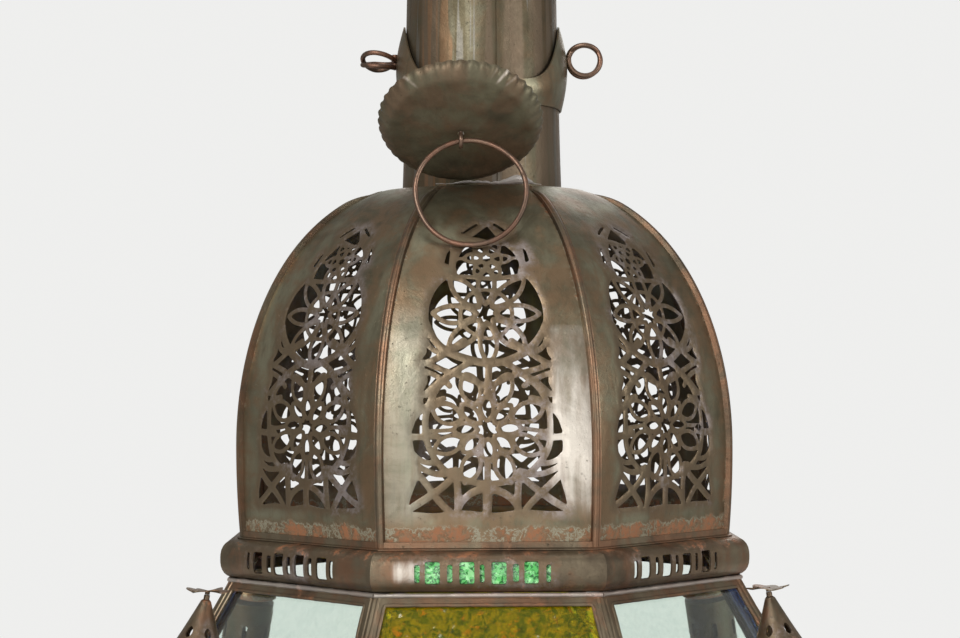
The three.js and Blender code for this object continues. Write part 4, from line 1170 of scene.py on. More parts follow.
@dataclass(frozen=True)
class Dome:
    """Eight pierced gores, the ribs and rings that hold them, and their seams."""

    profile: DomeProfile = DomeProfile()
    filigree: Filigree = Filigree()
    sheet: float = 1.0
    seam: float = 2.3
    first: float = 3.7
    last_gap: float = 4.5
    inset: float = 0.4
    margin_bend: float = 1.1
    dent_depth: float = 0.22
    rib_width: float = 4.2
    rib_proud: float = 0.8
    rib_depth: float = 3.2
    seam_width: float = 1.15
    crown_sink: float = 2.3
    ring_width: float = 6.6
    ring_lip: float = 1.7

    def gore(self, number: int) -> Shape:
        """The pierced gore with that number, the first one in front.

        Its margins bend inwards by the fourth power of the distance from the middle, and a ripple
        stands for the unevenness of beaten sheet.
        """
        profile = self.profile
        last = profile.along_face()[0][-1] - self.last_gap
        dents = Ripple(300 + number, 46.0)

        def half(s: Array) -> Array:
            return profile.half_width(s, self.seam)

        def place(u: Array, s: Array, depth: float) -> Array:
            bend = self.margin_bend * np.clip(np.abs(u) / half(s), 0, 1) ** 4
            return profile.place(u, s, -self.inset - bend + self.dent_depth * dents(u, s) - depth)

        holes = self.filigree.holes(number)
        sheet = PiercedSheet(self.first, last, half, holes, place, self.sheet, 0.7, 2.3, 0.45)
        return sheet.shape().turned((number - 1) * 2 * HALF_SECTOR)

    def frame(self) -> Shape:
        """The eight ribs with the ring at their feet.

        A rib's section has flat flanges and a rolled seam in the middle, whose height falls off as
        a bell curve across the rib. Near the crown the rib sinks into the sheet.
        """
        profile = self.profile
        across = np.linspace(-1, 1, 15) * self.rib_width / 2
        over = 0.05 + (self.rib_proud - 0.25) * bell(across, 0, self.seam_width, 4)
        across = np.concatenate([across, across[::-1][[0, -1]]])
        over = np.concatenate([over, [-self.rib_depth, -self.rib_depth]])
        height = profile.heights(0.6, profile.top - 0.6, 70)
        radius = profile.radius(height)
        slope = unit(np.stack([np.gradient(radius), np.gradient(height)], axis=1))
        sunk = self.crown_sink * np.clip((height - height[-1] + 9) / 8, 0, 1) ** 2
        over = np.maximum(over - sunk[:, None], -self.rib_depth + 0 * over)
        out = radius[:, None] + slope[:, 1, None] * over
        up = profile.foot + height[:, None] - slope[:, 0, None] * over
        rib = sweep(np.stack([np.broadcast_to(across, out.shape), -out, up], axis=-1))
        ribs = [rib.turned((2 * k + 1) * HALF_SECTOR) for k in range(SIDES)]
        outer = profile.base_radius + self.rib_proud
        inner, lip = outer - self.ring_width, outer + self.ring_lip
        outline = rounded([(inner, -0.2), (lip, -0.2), (lip, 0.5), (outer, 1.0), (outer, 4), (inner, 4)], 0.3, 3)
        ring = lathe(outline, SIDES, HALF_SECTOR).lifted(profile.foot)
        return Shape.joined([ring, *ribs])

    def highlight_band(self, u: Array, height: Array) -> Array:
        """Painted highlight on the front gore: a band along its right margin, brightest at mid height."""
        right = ramp(u, 27, 34) * (0.5 + 0.55 * bell(height, 56, 24))
        return right * ramp(height, 4, 26) * ramp(height, 115.5, 113.5)

    def bloom(self, u: Array, height: Array) -> Array:
        """How much grey bloom the front gore has: most in its left margin."""
        return 0.65 * ramp(-u, 27, 36) * ramp(height, 126, 112) * ramp(height, 10, 20)

    def top_ring(self) -> Shape:
        """The ring that carries the neck, with a sloping flange under the ends of the gores."""
        corners = [(41.5, 527.9), (52.0, 526.9), (69.0, 521.5), (69.0, 522.7), (52.0, 530.88), (41.5, 530.88)]
        return lathe(rounded(corners, 0.4, 3))

    def build(self, shop: Workshop) -> None:
        """Adds the dome's pieces."""
        for number in range(1, SIDES + 1):
            shape = self.gore(number)
            height = shape.points[:, 2] - self.profile.foot
            shape.marks["stain"] = np.maximum(shape.marks["stain"] * 0.6, ramp(height, 15, 9))
            # The front gore gets a painted highlight along its right margin and grey bloom in its left one
            if number == 1:
                shape.marks["wear"] = self.highlight_band(shape.points[:, 0], height)
                shape.marks["pale"] = self.bloom(shape.points[:, 0], height)
            shop.add(f"gore_{number}", shape, Slot.AGED_TIN, replaces=[f"dome_panel_{number}"])
        shop.add("dome_ribs", self.frame(), Slot.RUSTED_TIN, replaces=["dome_frame"])
        shop.add("dome_crown_ring", self.top_ring(), Slot.RUSTED_TIN, replaces=["dome_top_ring"])


# --- Neck, collar and eyelets ---


@dataclass(frozen=True)
class NeckSize:
    """Sizes of the neck's tube."""

    foot: float = 531.19
    foot_radius: float = 45.7
    top_radius: float = 42.6
    height: float = 132.0
    wall: float = 1.0
    lap_width: float = 8.0
    lap_height: float = 0.7
    lap_angle: float = 0.26

    def radius(self, height: Array | float) -> Array | float:
        """The tube's outer radius at a height above its foot."""
        return self.foot_radius + (self.top_radius - self.foot_radius) * height / self.height


@dataclass(frozen=True)
class Neck:
    """Rolled tube with its lap seam, the vented cap, and the eye and ring that it hangs from."""

    size: NeckSize = NeckSize()
    hanging_wire: float = 2.2
    eye_radius: float = 9.0
    eye_height: float = 703.38
    ring_radius: float = 26.0
    ring_height: float = 733.68
    cap_foot: float = 661.88
    cap_rim: float = 47.6
    cap_top: float = 7.0
    cap_rise: float = 30.0
    cap_lip: float = 2.2
    laps: tuple[Pair, ...] = ((0.3, 44.5), (61, 128.5))
    solder_ends: Pair = (-0.62, 0.8)
    vent_radius: float = 3.0

    def tube(self) -> Shape:
        """The tube, slightly out of round, with its lap seam dressed flat under the collar."""
        size = self.size
        turn = angles(144)
        height = np.linspace(0, size.height, 60)
        t, h = np.meshgrid(turn, height)
        uneven = Ripple(11, 3.0)(3 * np.cos(t), 3 * np.sin(t) + h / 30) * 0.12 - 0.15
        outer = size.radius(h) + uneven
        inner = outer - size.wall
        layers = np.concatenate([outer, inner[::-1]])
        levels = np.concatenate([h, h[::-1]])
        tube = closed_skin(from_front(layers, t[:1], levels))
        sheet = Shape.joined([tube, *(self.lap(*ends) for ends in self.laps)]).lifted(size.foot)
        # Marks the whole tube for its tone bands and painted vertical sheen
        sheet.marks["drawn"] = np.ones(len(sheet.points))
        return sheet

    def lap(self, low: float, high: float) -> Shape:
        """A length of the lap: a strip whose left edge stands proud and right edge fades."""
        size = self.size
        height = np.linspace(low, high, 40)[:, None]
        across = np.linspace(-0.5, 0.5, 9)[None, :]
        edge = size.lap_angle + across * size.lap_width / size.foot_radius
        proud = size.lap_height * (0.86 - 0.68 * (across + 0.5)) + 0.04 * np.sin(height / 5 + across * 4)
        outer = size.radius(height) + proud
        under = np.broadcast_to(size.radius(height) - 0.5, outer.shape)
        radius = np.concatenate([outer, under[:, ::-1]], axis=1)
        angle = np.concatenate([edge, edge[:, ::-1]], axis=1)
        return sweep(from_front(radius, angle, height))

    def solder(self) -> Shape:
        """The solder at the tube's foot: a bead whose thickness swells and fades in lumps."""
        start, end = self.solder_ends
        angle = np.linspace(start, end, 180)
        lumps = 0.7 * Ripple(33, 0.5)(angle, 0 * angle) + 0.3 * Ripple(34, 0.13)(angle, 0 * angle)
        fade = np.clip((end - angle) / 0.25, 0.1, 1) * np.clip((angle - start) / 0.25, 0.1, 1)
        size = (0.6 + 1.5 * bell(angle, 0.4, 0.24) + 0.4 * lumps) * fade
        out = self.size.foot_radius - 0.35 + size * 0.35
        height = self.size.foot + 1.5 + 0.4 * size + 0.6 * lumps * fade
        bead = wire(from_front(out, angle, height), np.maximum(size, 0.2), (0, 0, 1), 10)
        bead.marks["solder"] = np.ones(len(bead.points))
        return bead

    def cap(self) -> Shape:
        """The vented cone on the tube: rolled sheet with a turned rim and a washer on top."""
        rim, top, rise = self.cap_rim, self.cap_top, self.cap_rise
        length = math.hypot(rim - top, rise)
        slope = np.array([rise, rim - top]) / length
        vents = [math.pi / 4, -math.pi / 4, 3 * math.pi / 4, -3 * math.pi / 4]

        def place(u: Array, v: Array, depth: float) -> Array:
            out = rim + (top - rim) * v / length - slope[0] * depth
            up = rise * v / length - slope[1] * depth
            return from_front(out, u / rim, up)

        def holes(u: Array, v: Array) -> Array:
            along = (v - 0.6 * length) * 0.6
            return np.maximum.reduce([self.vent_radius - np.hypot((u - k * rim) * 0.49, along) for k in vents])

        sheet = PiercedSheet(0.0, length, even(math.pi * rim - 0.05), holes, place, 1.1, 1.2, 4.0).shape()
        edge = lathe(rounded(oblong(rim - self.cap_lip, rim, 0.1, 1.5), 0.6, 4))
        disc = [(2.6, rise - 1.2), (top + 0.3, rise - 1.2), (top + 0.1, rise), (2.6, rise)]
        washer = lathe(rounded(disc, 0.3, 3), 48)
        return Shape.joined([sheet, edge, washer]).lifted(self.cap_foot)

    def eye(self) -> Shape:
        """The eye on the cap: a loop of wire, its collar, its shank and the nut below."""
        seat = self.cap_foot + self.cap_rise + CLEARANCE
        loop = hoop((0, 0, self.eye_height), self.eye_radius, self.hanging_wire, 1, 64, 18)
        under = seat - 2 * CLEARANCE - 1.2
        nut = prism(circle(4.3, 64)[::11], under - 3, under, 0.3)
        collar = lathe(rounded(oblong(2.0, 6.0, seat, seat + 1.5), 0.5, 4), 48)
        shank = rod((0, 0, under - 4), (0, 0, seat + 2 * self.hanging_wire), self.hanging_wire, 24)
        return Shape.joined([loop, shank, collar, nut])

    def build(self, shop: Workshop) -> None:
        """Adds the neck's pieces."""
        shop.add("neck_sheet", Shape.joined([self.tube(), self.solder()]), Slot.AGED_TIN, replaces=["neck_tube"])
        shop.add("vented_cap", self.cap(), Slot.AGED_TIN, replaces=["neck_cap"])
        shop.add("cap_eye", self.eye(), Slot.DARK_TIN, replaces=["hanging_eye"])
        loop = hoop((0, 0, self.ring_height), self.ring_radius, self.hanging_wire, 0, 72, 16)
        shop.add("hanging_loop", loop, Slot.DARK_TIN, "top_ring", ["hanging_ring"])


@dataclass(frozen=True)
class Collar:
    """Band round the neck, drawn out into a horn at each side, with a lug for the disc's wire."""

    neck: NeckSize = NeckSize()
    foot: float = 46.0
    dip: float = 13.0
    horn: float = 36.0
    sheet: float = 0.9
    side_bulge: float = 4.0
    flare: float = 2.6
    hook: Point = HOOK
    hook_hole: float = 1.75
    lug: Point = (2.0, 10.1, 8.0)

    def band(self) -> Shape:
        """The band: its height grows with the sixth power of the sine of the turn from the front."""
        turn = angles(180)[None, :]
        share = np.linspace(0, 1, 17)[:, None]
        side = np.abs(np.sin(turn))
        rise = self.dip + self.horn * side**6
        height = self.foot + rise * share
        bulge = self.side_bulge * side**2 * np.sin(np.pi * share)
        inner = self.neck.radius(height) + CLEARANCE + bulge + self.flare * share * (1 - side**6)
        radius = np.concatenate([inner + self.sheet, inner[::-1]])
        levels = np.concatenate([height, height[::-1]])
        return closed_skin(from_front(radius, turn, levels + self.neck.foot))

    def lug_shape(self) -> Shape:
        """The lug: a plate with a hole, rounded as a superellipse, standing out from the band."""
        x, y, z = self.hook
        width, reach, tall = self.lug
        hole = circle(self.hook_hole, 48) + (y, z)
        box = circle(1.0, 48)
        box = box / np.maximum(np.abs(box) ** 5, 1e-9).sum(axis=1, keepdims=True) ** 0.2
        low, high = y - 3.4, y - 3.4 + reach - 1.3
        outer = np.stack([(low + high) / 2 + box[:, 0] * (high - low) / 2, z + box[:, 1] * tall / 2], axis=1)
        faces = [(hole, -1), (outer, -1), (outer, 1), (hole, 1)]
        return closed_skin(np.stack([np.insert(ring, 0, x + side * width / 2, axis=1) for ring, side in faces]))

    def build(self, shop: Workshop) -> None:
        """Adds the collar."""
        shape = Shape.joined([self.band(), self.lug_shape()])
        shop.add("collar_band", shape, Slot.AGED_TIN, replaces=["neck_collar"])


@dataclass(frozen=True)
class Eyelet:
    """Two turns of copper wire on a shank that swivels in the collar."""

    side: int
    lean: float
    axis: float = 606.39
    coil: float = 9.2
    wire: float = 1.45
    pitch: float = 3.6
    turns: float = 2.0
    inside: float = 44.9
    centre: float = 59.17
    tilt: float = 0.8
    hole: float = 1.9

    def shape(self) -> Shape:
        """The eyelet: a helix of wire, its shank and the head behind the collar.

        The second turn of the helix is tilted about the shank, so that both turns show.
        """
        near = self.centre - self.coil
        steps = np.linspace(0, 1, 97)
        angle = math.pi + steps * self.turns * TURN
        ease = steps * self.turns - self.turns / 2
        tilt = self.tilt * np.clip(steps * 2 - 0.7, 0, 1)
        y, z = self.pitch * ease, self.coil * np.sin(angle)
        y, z = y * np.cos(tilt) - z * np.sin(tilt), z * np.cos(tilt) + y * np.sin(tilt)
        path = np.stack([self.centre + self.coil * np.cos(angle), y, z], axis=1)
        loop = wire(path, self.wire, (0, 1, 0), 14)
        shank = rod((self.inside, 0, 0), (near + 0.4, 0, 0), self.wire, 16)
        foot = rod((near, -self.pitch - 0.4, 0), (near, self.pitch + 0.4, 0), self.wire * 1.04, 16)
        head = rod((self.inside, 0, 0), (self.inside + 1.0, 0, 0), self.hole + 0.85, 20)
        turn = Matrix.Rotation(math.pi if self.side < 0 else 0.0, 4, "Z") @ Matrix.Rotation(self.lean, 4, "X")
        return Shape.joined([loop, shank, foot, head]).placed(Matrix.Translation((0, 0, self.axis)) @ turn)

    def build(self, shop: Workshop) -> None:
        """Adds the eyelet."""
        name = "left" if self.side < 0 else "right"
        shop.add(f"{name}_wire_loop", self.shape(), Slot.COPPER_WIRE, f"{name}_eyelet", [f"eyelet_{name}"])


# --- What hangs in front of the neck ---


@dataclass(frozen=True)
class HangingDisc:
    """Crimped cap on a bent wire, and the wire ring in the wire's eye."""

    centre: Point = (-12.8, -87.1, 556.69)
    tilt: float = math.radians(38)
    radius: float = 44.0
    face: float = 37.0
    skirt: float = 8.0
    crown: float = 2.4
    sheet: float = 0.8
    flutes: int = 44
    flute_depth: float = 0.45
    bore: float = 1.85
    wire: float = 1.15
    hook: Point = HOOK
    eye: Point = (-12.8, -91.686, 550.821)
    eye_radius: float = 3.3
    ring_radius: float = 29.5
    ring_wire: float = 1.4
    ring_offset: float = 5.0

    @property
    def normal(self) -> Array:
        """Direction in which the disc faces."""
        return np.array([0.0, -math.sin(self.tilt), -math.cos(self.tilt)])

    @property
    def drop(self) -> float:
        """How far the ring's centre hangs below the wire's eye."""
        return math.sqrt(self.ring_radius**2 - self.ring_offset**2)

    def disc(self) -> Shape:
        """The cap: a crowned face with hammer dents and a skirt of sharp flutes.

        The skirt's radius swings by the flute depth; the swing grows from the face's rim and is
        sharpened by a power so that the crests are narrow.
        """
        turn = angles(self.flutes * 16)[None, :]
        face_radius = np.linspace(self.bore, self.face, 20)[:, None]
        skirt_share = np.linspace(0, 1, 9)[1:, None]
        dents = Ripple(21, 22.0)
        wave = np.cos(self.flutes * turn)
        crest = np.sign(wave) * np.abs(wave) ** 0.7 * (0.85 + 0.3 * Ripple(23, 1.2)(turn, 0 * turn))
        face_height = self.crown * (1 - ((face_radius - self.bore) / (self.face - self.bore)) ** 1.6)
        x, y = face_radius * np.cos(turn), face_radius * np.sin(turn)
        hammer = 0.3 * dents(x, y) + 0.12 * Ripple(22, 8.0)(x, y)
        face_height = face_height + (hammer - 0.3) * (face_radius / self.face)
        spread = (self.radius - self.face) * np.sin(skirt_share * np.pi / 2) ** 1.1
        skirt_radius = self.face + spread + self.flute_depth * crest * skirt_share
        rim_height = face_height[-1:]
        skirt_height = rim_height * (1 - skirt_share) - (self.skirt - 0.2) * skirt_share**1.35
        radius = np.concatenate([face_radius + 0 * turn, skirt_radius])
        height = np.concatenate([face_height + 0 * turn, skirt_height + 0 * turn])
        slope = np.gradient(height, axis=0) / np.maximum(np.gradient(radius, axis=0), 0.15)
        size = np.sqrt(1 + slope**2)
        inner_radius, inner_height = radius + slope / size * self.sheet, height - self.sheet / size
        inner_radius[0] = self.bore
        radius = np.concatenate([radius, inner_radius[::-1]])
        height = np.concatenate([height, inner_height[::-1]])
        x = np.array([1.0, 0.0, 0.0])
        basis = Matrix(np.column_stack([x, np.cross(self.normal, x), self.normal]).tolist()).to_4x4()
        return closed_skin(from_side(radius, turn, height)).placed(Matrix.Translation(self.centre) @ basis)

    def hanger(self) -> Shape:
        """The bent wire from the collar's lug, through the disc, to its end eye."""
        hook, centre, normal = np.array(self.hook), np.array(self.centre), self.normal
        behind = centre - normal * (self.skirt + 3)
        front = centre + normal * (self.crown + self.wire + 0.8)
        corners = np.stack([hook + (-4, 0, 0), hook, hook + (3, 0, 0), hook + (2, -7, -2), behind, front])
        span = np.concatenate([[0], np.cumsum(np.linalg.norm(np.diff(corners, axis=0), axis=1))])
        along = np.linspace(0, span[-1], 60)
        path = np.stack([np.interp(along, span, row) for row in corners.T], axis=1)
        padded = np.concatenate([path[:1], path, path[-1:]])
        path[1:-1] = (padded[:-2] + padded[1:-1] * 2 + padded[2:])[1:-1] / 4
        bent = wire(path, self.wire, (0.12, 0.35, 0.93), 12)
        return Shape.joined([bent, hoop(self.eye, self.eye_radius, self.wire, 0, 36, 12)])

    def ring(self, lean: float) -> Shape:
        """The wire ring, a hand-bent circle that leans on the dome."""
        turn = angles(120)
        uneven = 0.25 * np.sin(3 * turn + 0.6) + 0.15 * np.sin(5 * turn)
        radius = self.ring_radius - 0.3 + uneven
        x = self.ring_offset + radius * np.cos(turn)
        z = -self.drop + radius * np.sin(turn)
        path = np.stack([x, z * math.sin(lean) - 0.3, z * math.cos(lean)], axis=1) + np.array(self.eye)
        return wire(path, self.ring_wire, (0, -math.cos(lean), math.sin(lean)), 14, True)

    def build(self, shop: Workshop) -> None:
        """Adds the disc, its wire and the ring."""
        disc = self.disc()
        away = disc.points - np.array(self.centre)
        # Painted highlights on the crests of the skirt's flutes, at two angles round the disc
        rim = np.clip((np.linalg.norm(away, axis=1) - self.face + 1) / 4, 0, 1)
        turn = np.arctan2(away[:, 2], away[:, 0])
        stripes = 0.35 + 0.65 * np.cos(self.flutes * turn)
        highlight_peak = bell(turn, 0.85, 0.16) + 0.8 * bell(turn, 2.45, 0.12)
        disc.marks["wear"] = 0.85 * rim * stripes * highlight_peak
        shop.add("fluted_disc", disc, Slot.DARK_TIN, "disc", ["crimped_disc"], 50)
        shop.add("disc_wire", self.hanger(), Slot.COPPER_WIRE, "disc", ["disc_hanger"])
        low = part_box("wire_ring")[0]
        reach = self.drop + self.ring_radius
        lean = math.asin((self.eye[1] - low.y / MM - self.ring_wire) / reach)
        shop.add("copper_ring", self.ring(lean), Slot.COPPER_WIRE, "front_ring", ["wire_ring"])


# --- Ring moulding ---


@dataclass(frozen=True)
class Moulding:
    """Octagonal half-round moulding with a row of slots in each face."""

    foot: float = 316.5
    radius: float = 144.52
    bulge: float = 10.4
    height: float = 21.2
    sheet: float = 1.1
    pitch: float = 8.3
    shift: float = 3.0
    wide: Pair = (7.4, 11.8)
    thin: Pair = (2.6, 9.4)
    slot_corner: float = 1.0
    squareness: float = 2.6
    edge_gap: float = 0.3
    mitre_from: float = 0.7

    def section(self) -> tuple[Array, Array, Array]:
        """Stations along the half round, with their distance out and their height.

        The section is a superellipse: round shoulders and a flat middle.
        """
        turn = np.linspace(-math.pi / 2, math.pi / 2, 400)
        out = self.bulge * np.abs(np.cos(turn)) ** (2 / self.squareness)
        up = self.height / 2 * np.sign(np.sin(turn)) * np.abs(np.sin(turn)) ** (2 / self.squareness)
        return np.concatenate([[0.0], np.cumsum(np.hypot(np.diff(out), np.diff(up)))]), out, up

    def curve(self, v: Array) -> tuple[Array, Array, Array, Array]:
        """Distance out, height and the outward direction at stations from the section's middle."""
        station, out, up = self.section()
        station = station + 1e-9 * np.arange(len(station))
        v = v + station[-1] / 2
        o, h = np.interp(v, station, out), np.interp(v, station, up)
        slope = unit(np.stack([np.gradient(out, station), np.gradient(up, station)], axis=1))
        return o, h, np.interp(v, station, slope[:, 1]), -np.interp(v, station, slope[:, 0])

    def holes(self, seed: int) -> Field:
        """The function that is positive in the slots of one face."""
        stray = np.random.default_rng(700 + seed).normal(0, 0.25, (9, 3))

        def depth(u: Array, v: Array) -> Array:
            found = np.full(np.shape(u), -FAR)
            for i, (du, dv, dw) in zip(range(-4, 5), stray):
                width, tall = self.wide if i % 2 else self.thin
                x = u - i * self.pitch + self.shift - du
                found = np.maximum(found, slot_room(x, v - dv, width + dw, tall, self.slot_corner))
            return found

        return depth

    def face(self, number: int) -> Shape:
        """One face of the moulding, mitred at its ends."""

        def place(u: Array, v: Array, depth: float) -> Array:
            out, up, normal_out, normal_up = self.curve(v)
            base = self.radius * math.cos(HALF_SECTOR)
            away = base + out - normal_out * depth
            mitre = away * math.tan(HALF_SECTOR) - 0.02
            width = (base + self.bulge) * math.tan(HALF_SECTOR)
            inner = self.mitre_from * width
            past = (np.abs(u) - inner) * (mitre - inner) / (width - inner)
            x = np.where(np.abs(u) > inner, np.sign(u) * (inner + past), u)
            return np.stack([x, -away, self.foot + self.height / 2 + up - normal_up * depth], axis=-1)

        width = (self.radius * math.cos(HALF_SECTOR) + self.bulge) * math.tan(HALF_SECTOR)
        reach = float(self.section()[0][-1]) / 2 - self.edge_gap
        shape = PiercedSheet(-reach, reach, even(width), self.holes(number), place, self.sheet, 0.45, 2.2).shape()
        x, z = shape.points[:, 0], shape.points[:, 2] - self.foot - self.height / 2
        shape.marks["stain"] = 0.4 * ramp(np.abs(z + 2), 6, 10)
        # Painted highlight at the left end of the front face
        if number == 1:
            shape.marks["wear"] = 0.8 * bell(x, -42.5, 7, 4) * bell(z, 0.5, 6, 4)
        return shape.turned((number - 1) * 2 * HALF_SECTOR)

    def build(self, shop: Workshop) -> None:
        """Adds the moulding."""
        shape = Shape.joined([self.face(number) for number in range(1, SIDES + 1)])
        shop.add("slotted_moulding", shape, Slot.RUSTED_TIN, replaces=["ring_moulding"])


# --- Turrets ---


@dataclass(frozen=True)
class Turret:
    """Leaning tube with slot windows, a pierced cone on it and a flower of thin sheet.

    Lengths along the tube are measured from its mouth, which lies at the height `mouth`.
    """

    number: int
    side_x: int
    side_y: int
    reach: float = 146.6
    mouth: float = 284.5
    floor: float = 240.25
    lean: float = 0.16
    radius: float = 15.0
    wall: float = 0.9
    cone: float = 33.0
    lip: float = 1.0
    tip: float = 1.6
    flower: float = 11.0
    petals: int = 6
    window: Pair = (3.0, 10.0)
    almond: float = 2.0

    @property
    def stance(self) -> Matrix:
        """Place of the tube's mouth, with the tube's axis as Z."""
        axis = Vector((-self.side_x * self.lean, -self.side_y * self.lean, 1)).normalized()
        turn = Vector((0, 0, 1)).rotation_difference(axis).to_matrix().to_4x4()
        return Matrix.Translation((self.side_x * self.reach, self.side_y * self.reach, self.mouth)) @ turn

    def tube(self) -> Shape:
        """The rolled tube, whose foot follows the plate that it stands on.

        At each angle the foot lies where the leaning side reaches the floor's height.
        """
        stance = self.stance
        tilt = np.array([stance[2][0], stance[2][1], stance[2][2]])
        length = (self.mouth - self.floor) / tilt[2]

        def place(u: Array, v: Array, depth: float) -> Array:
            angle, radius = u / self.radius, self.radius - depth
            x, y = radius * np.sin(angle), -radius * np.cos(angle)
            foot = (self.floor - self.mouth - x * tilt[0] - y * tilt[1]) / tilt[2]
            return np.stack([x, y, foot * (1 - v / length) - 0.02], axis=-1)

        def holes(u: Array, v: Array) -> Array:
            pitch = math.pi * self.radius / 3
            return slot_room(((u / pitch + 0.5) % 1 - 0.5) * pitch, v - length * 0.5, *self.window, 1.2)

        half = even(math.pi * self.radius - 0.03)
        return PiercedSheet(0.0, length, half, holes, place, self.wall, 0.6, 2.4).shape()

    def cone_shape(self) -> Shape:
        """The cone: rolled sheet with six almond-shaped holes round it, and its tip."""
        rim, rise = self.radius + self.lip, self.cone * 0.97
        length = math.hypot(rim - self.tip * 1.2, rise)
        slope = np.array([rise, rim - self.tip * 1.2]) / length

        def place(u: Array, v: Array, depth: float) -> Array:
            out = rim + (self.tip - rim) * (v / length) ** 0.9 - slope[0] * depth
            up = CLEARANCE + rise * v / length + slope[1] * (0.35 - depth)
            return from_front(out, u / rim, up)

        def holes(u: Array, v: Array) -> Array:
            pitch = math.pi * rim / 3
            across = np.abs((u / pitch) % 1 - 0.5) * pitch * 0.62
            along = (v - 0.42 * length) * 0.62
            return self.almond - np.hypot(across + 0.1 * along**2, along)

        sheet = PiercedSheet(0.0, length, even(math.pi * rim - 0.03), holes, place, self.wall, 0.55, 2.4).shape()
        tip = rod((0, 0, rise - 1.5), (0, 0, self.cone + 0.28), self.tip - 0.1, 24, 0.3)
        return Shape.joined([sheet, tip])

    def flower_shape(self) -> Shape:
        """The flower: its radius and its height both swing with the petals, and it lies level."""
        angle = angles(self.petals * 20)[None, :]
        share = np.linspace(0.01, 1, 12)[:, None]
        rim = self.flower * (0.86 + 0.14 * np.cos(self.petals * angle)) - 0.1
        wave = 0.7 * np.cos(3 * angle + self.number) + 0.4 * np.cos(self.petals * angle)
        wave = wave * share**2 - 0.5 * (1 - share)
        radius = np.concatenate([share * rim, (share * rim)[::-1]])
        height = np.concatenate([35.7 + wave, (35.2 + wave)[::-1]])
        level = (self.side_x * np.cos(angle) + self.side_y * np.sin(angle)) * radius * self.lean * 0.75
        stem = rod((0, 0, self.cone + 0.4), (0, 0, self.cone + 2.4), 1.25, 20, 0.1)
        return Shape.joined([closed_skin(from_side(radius, angle, height - level)), stem])

    def build(self, shop: Workshop) -> None:
        """Adds the turret's three pieces."""
        for name, shape, slot, node in (
            ("slotted_tube", self.tube(), Slot.DARK_TIN, "turret_tube"),
            ("pierced_cone", self.cone_shape(), Slot.RUSTED_TIN, "turret_cap"),
            ("sheet_flower", self.flower_shape(), Slot.RUSTED_TIN, "turret_flower"),
        ):
            placed = shape.placed(self.stance)
            shop.add(f"{name}_{self.number}", placed, slot, replaces=[f"{node}_{self.number}"])


# --- Glazed shoulder and body ---


@dataclass(frozen=True)
class Frustum:
    """Tapering frame with flat faces and one window in each.

    Attributes:
        foot: Height of its foot.
        sides: Number of faces; the first is in front.
        foot_half: Distance of the faces from the axis at the foot.
        top_half: The same at the top.
        height: Height of the frame.
        stile: Width of the frame beside a window.
        rail: Width above and below it.
    """

    foot: float
    sides: int
    foot_half: float
    top_half: float
    height: float
    stile: float
    rail: float

    @property
    def length(self) -> float:
        """Length of a face up its slope."""
        return math.hypot(self.height, self.foot_half - self.top_half)

    def half(self, v: Array | float) -> Array | float:
        """Half a face's width at a distance up the slope."""
        return (self.foot_half + (self.top_half - self.foot_half) * v / self.length) * math.tan(math.pi / self.sides)

    def face(self, number: int) -> Matrix:
        """The place of a face: X sideways, Y up the slope, Z outwards."""
        up, out = self.height / self.length, (self.foot_half - self.top_half) / self.length
        basis = Matrix(((1, 0, 0), (0, out, -up), (0, up, out))).to_4x4()
        basis = Matrix.Translation((0, -self.foot_half, self.foot)) @ basis
        return Matrix.Rotation(number * TURN / self.sides, 4, "Z") @ basis

    def bead(self, inset: float, radius: float) -> Shape:
        """A soldered bead round the window, rounded at its corners."""
        low, high = self.rail - inset, self.length - self.rail + inset
        a, b = self.half(low) - self.stile + inset, self.half(high) - self.stile + inset
        outline = rounded([(-a, low), (a, low), (b, high), (-b, high)], 1.6, 5)
        steps = np.linspace(0, 1, 24)[None, :, None]
        following = np.roll(outline, -1, axis=0)
        path = (outline[:, None] * (1 - steps) + following[:, None] * steps)[:, :-1].reshape(-1, 2)
        path = path[np.concatenate([[True], np.linalg.norm(np.diff(path, axis=0), axis=1) > 1e-4])]
        uneven = radius * (0.92 + 0.1 * Ripple(int(low * 7) + self.sides, 12.0)(path[:, 0], path[:, 1]))
        return wire(np.column_stack([path, np.full(len(path), -0.25)]), uneven, (0, 0, 1), 10, True)

    def seams(self, radius: float) -> Shape:
        """The two rolled ridges beside each corner, and the rolls along top and foot."""
        v = np.linspace(0.6, self.length - 0.6, 40)
        uneven = radius * (0.9 + 0.12 * Ripple(5 + self.sides, 14.0)(v, v * 0.3))
        lines = [(side * (self.half(v) - 1.9 * radius), v) for side in (-1, 1)]
        for level in (1.2 * radius, self.length - 1.2 * radius):
            lines.append((np.linspace(-1, 1, 40) * (self.half(level) - 0.4), level + 0 * v))
        paths = [np.column_stack([x, y, np.full(40, -0.4 * radius)]) for x, y in lines]
        return Shape.joined([wire(path, uneven, (0, 0, 1), 10) for path in paths])

    def lead(self, radius: float) -> Shape:
        """The soldered strip along a face's top edge; its pale solder colour also stands for a painted highlight along
        the top rail.
        """
        u = np.linspace(-1, 1, 60) * (self.half(self.length) + 0.4)
        uneven = radius * (0.9 + 0.12 * Ripple(9, 11.0)(u, u * 0.2))
        path = np.stack([u, 0 * u + self.length - 0.7 * radius, 0 * u + 0.45 * radius], axis=1)
        strip = wire(path, uneven, (0, 0, 1), 12)
        strip.marks["solder"] = np.full(len(strip.points), 0.5)
        return strip

    def on_faces(self, shape: Shape, numbers: Sequence[int] = ()) -> list[Shape]:
        """Copies of a shape on the faces with these numbers, or on all faces."""
        return [shape.placed(self.face(k)) for k in numbers or range(self.sides)]


SHOULDER = Frustum(foot=240.2, sides=8, foot_half=180.34, top_half=138.21, height=76.0, stile=6.5, rail=6.5)
BODY = Frustum(foot=23.1, sides=4, foot_half=209.74, top_half=175.34, height=215.0, stile=14.0, rail=14.0)


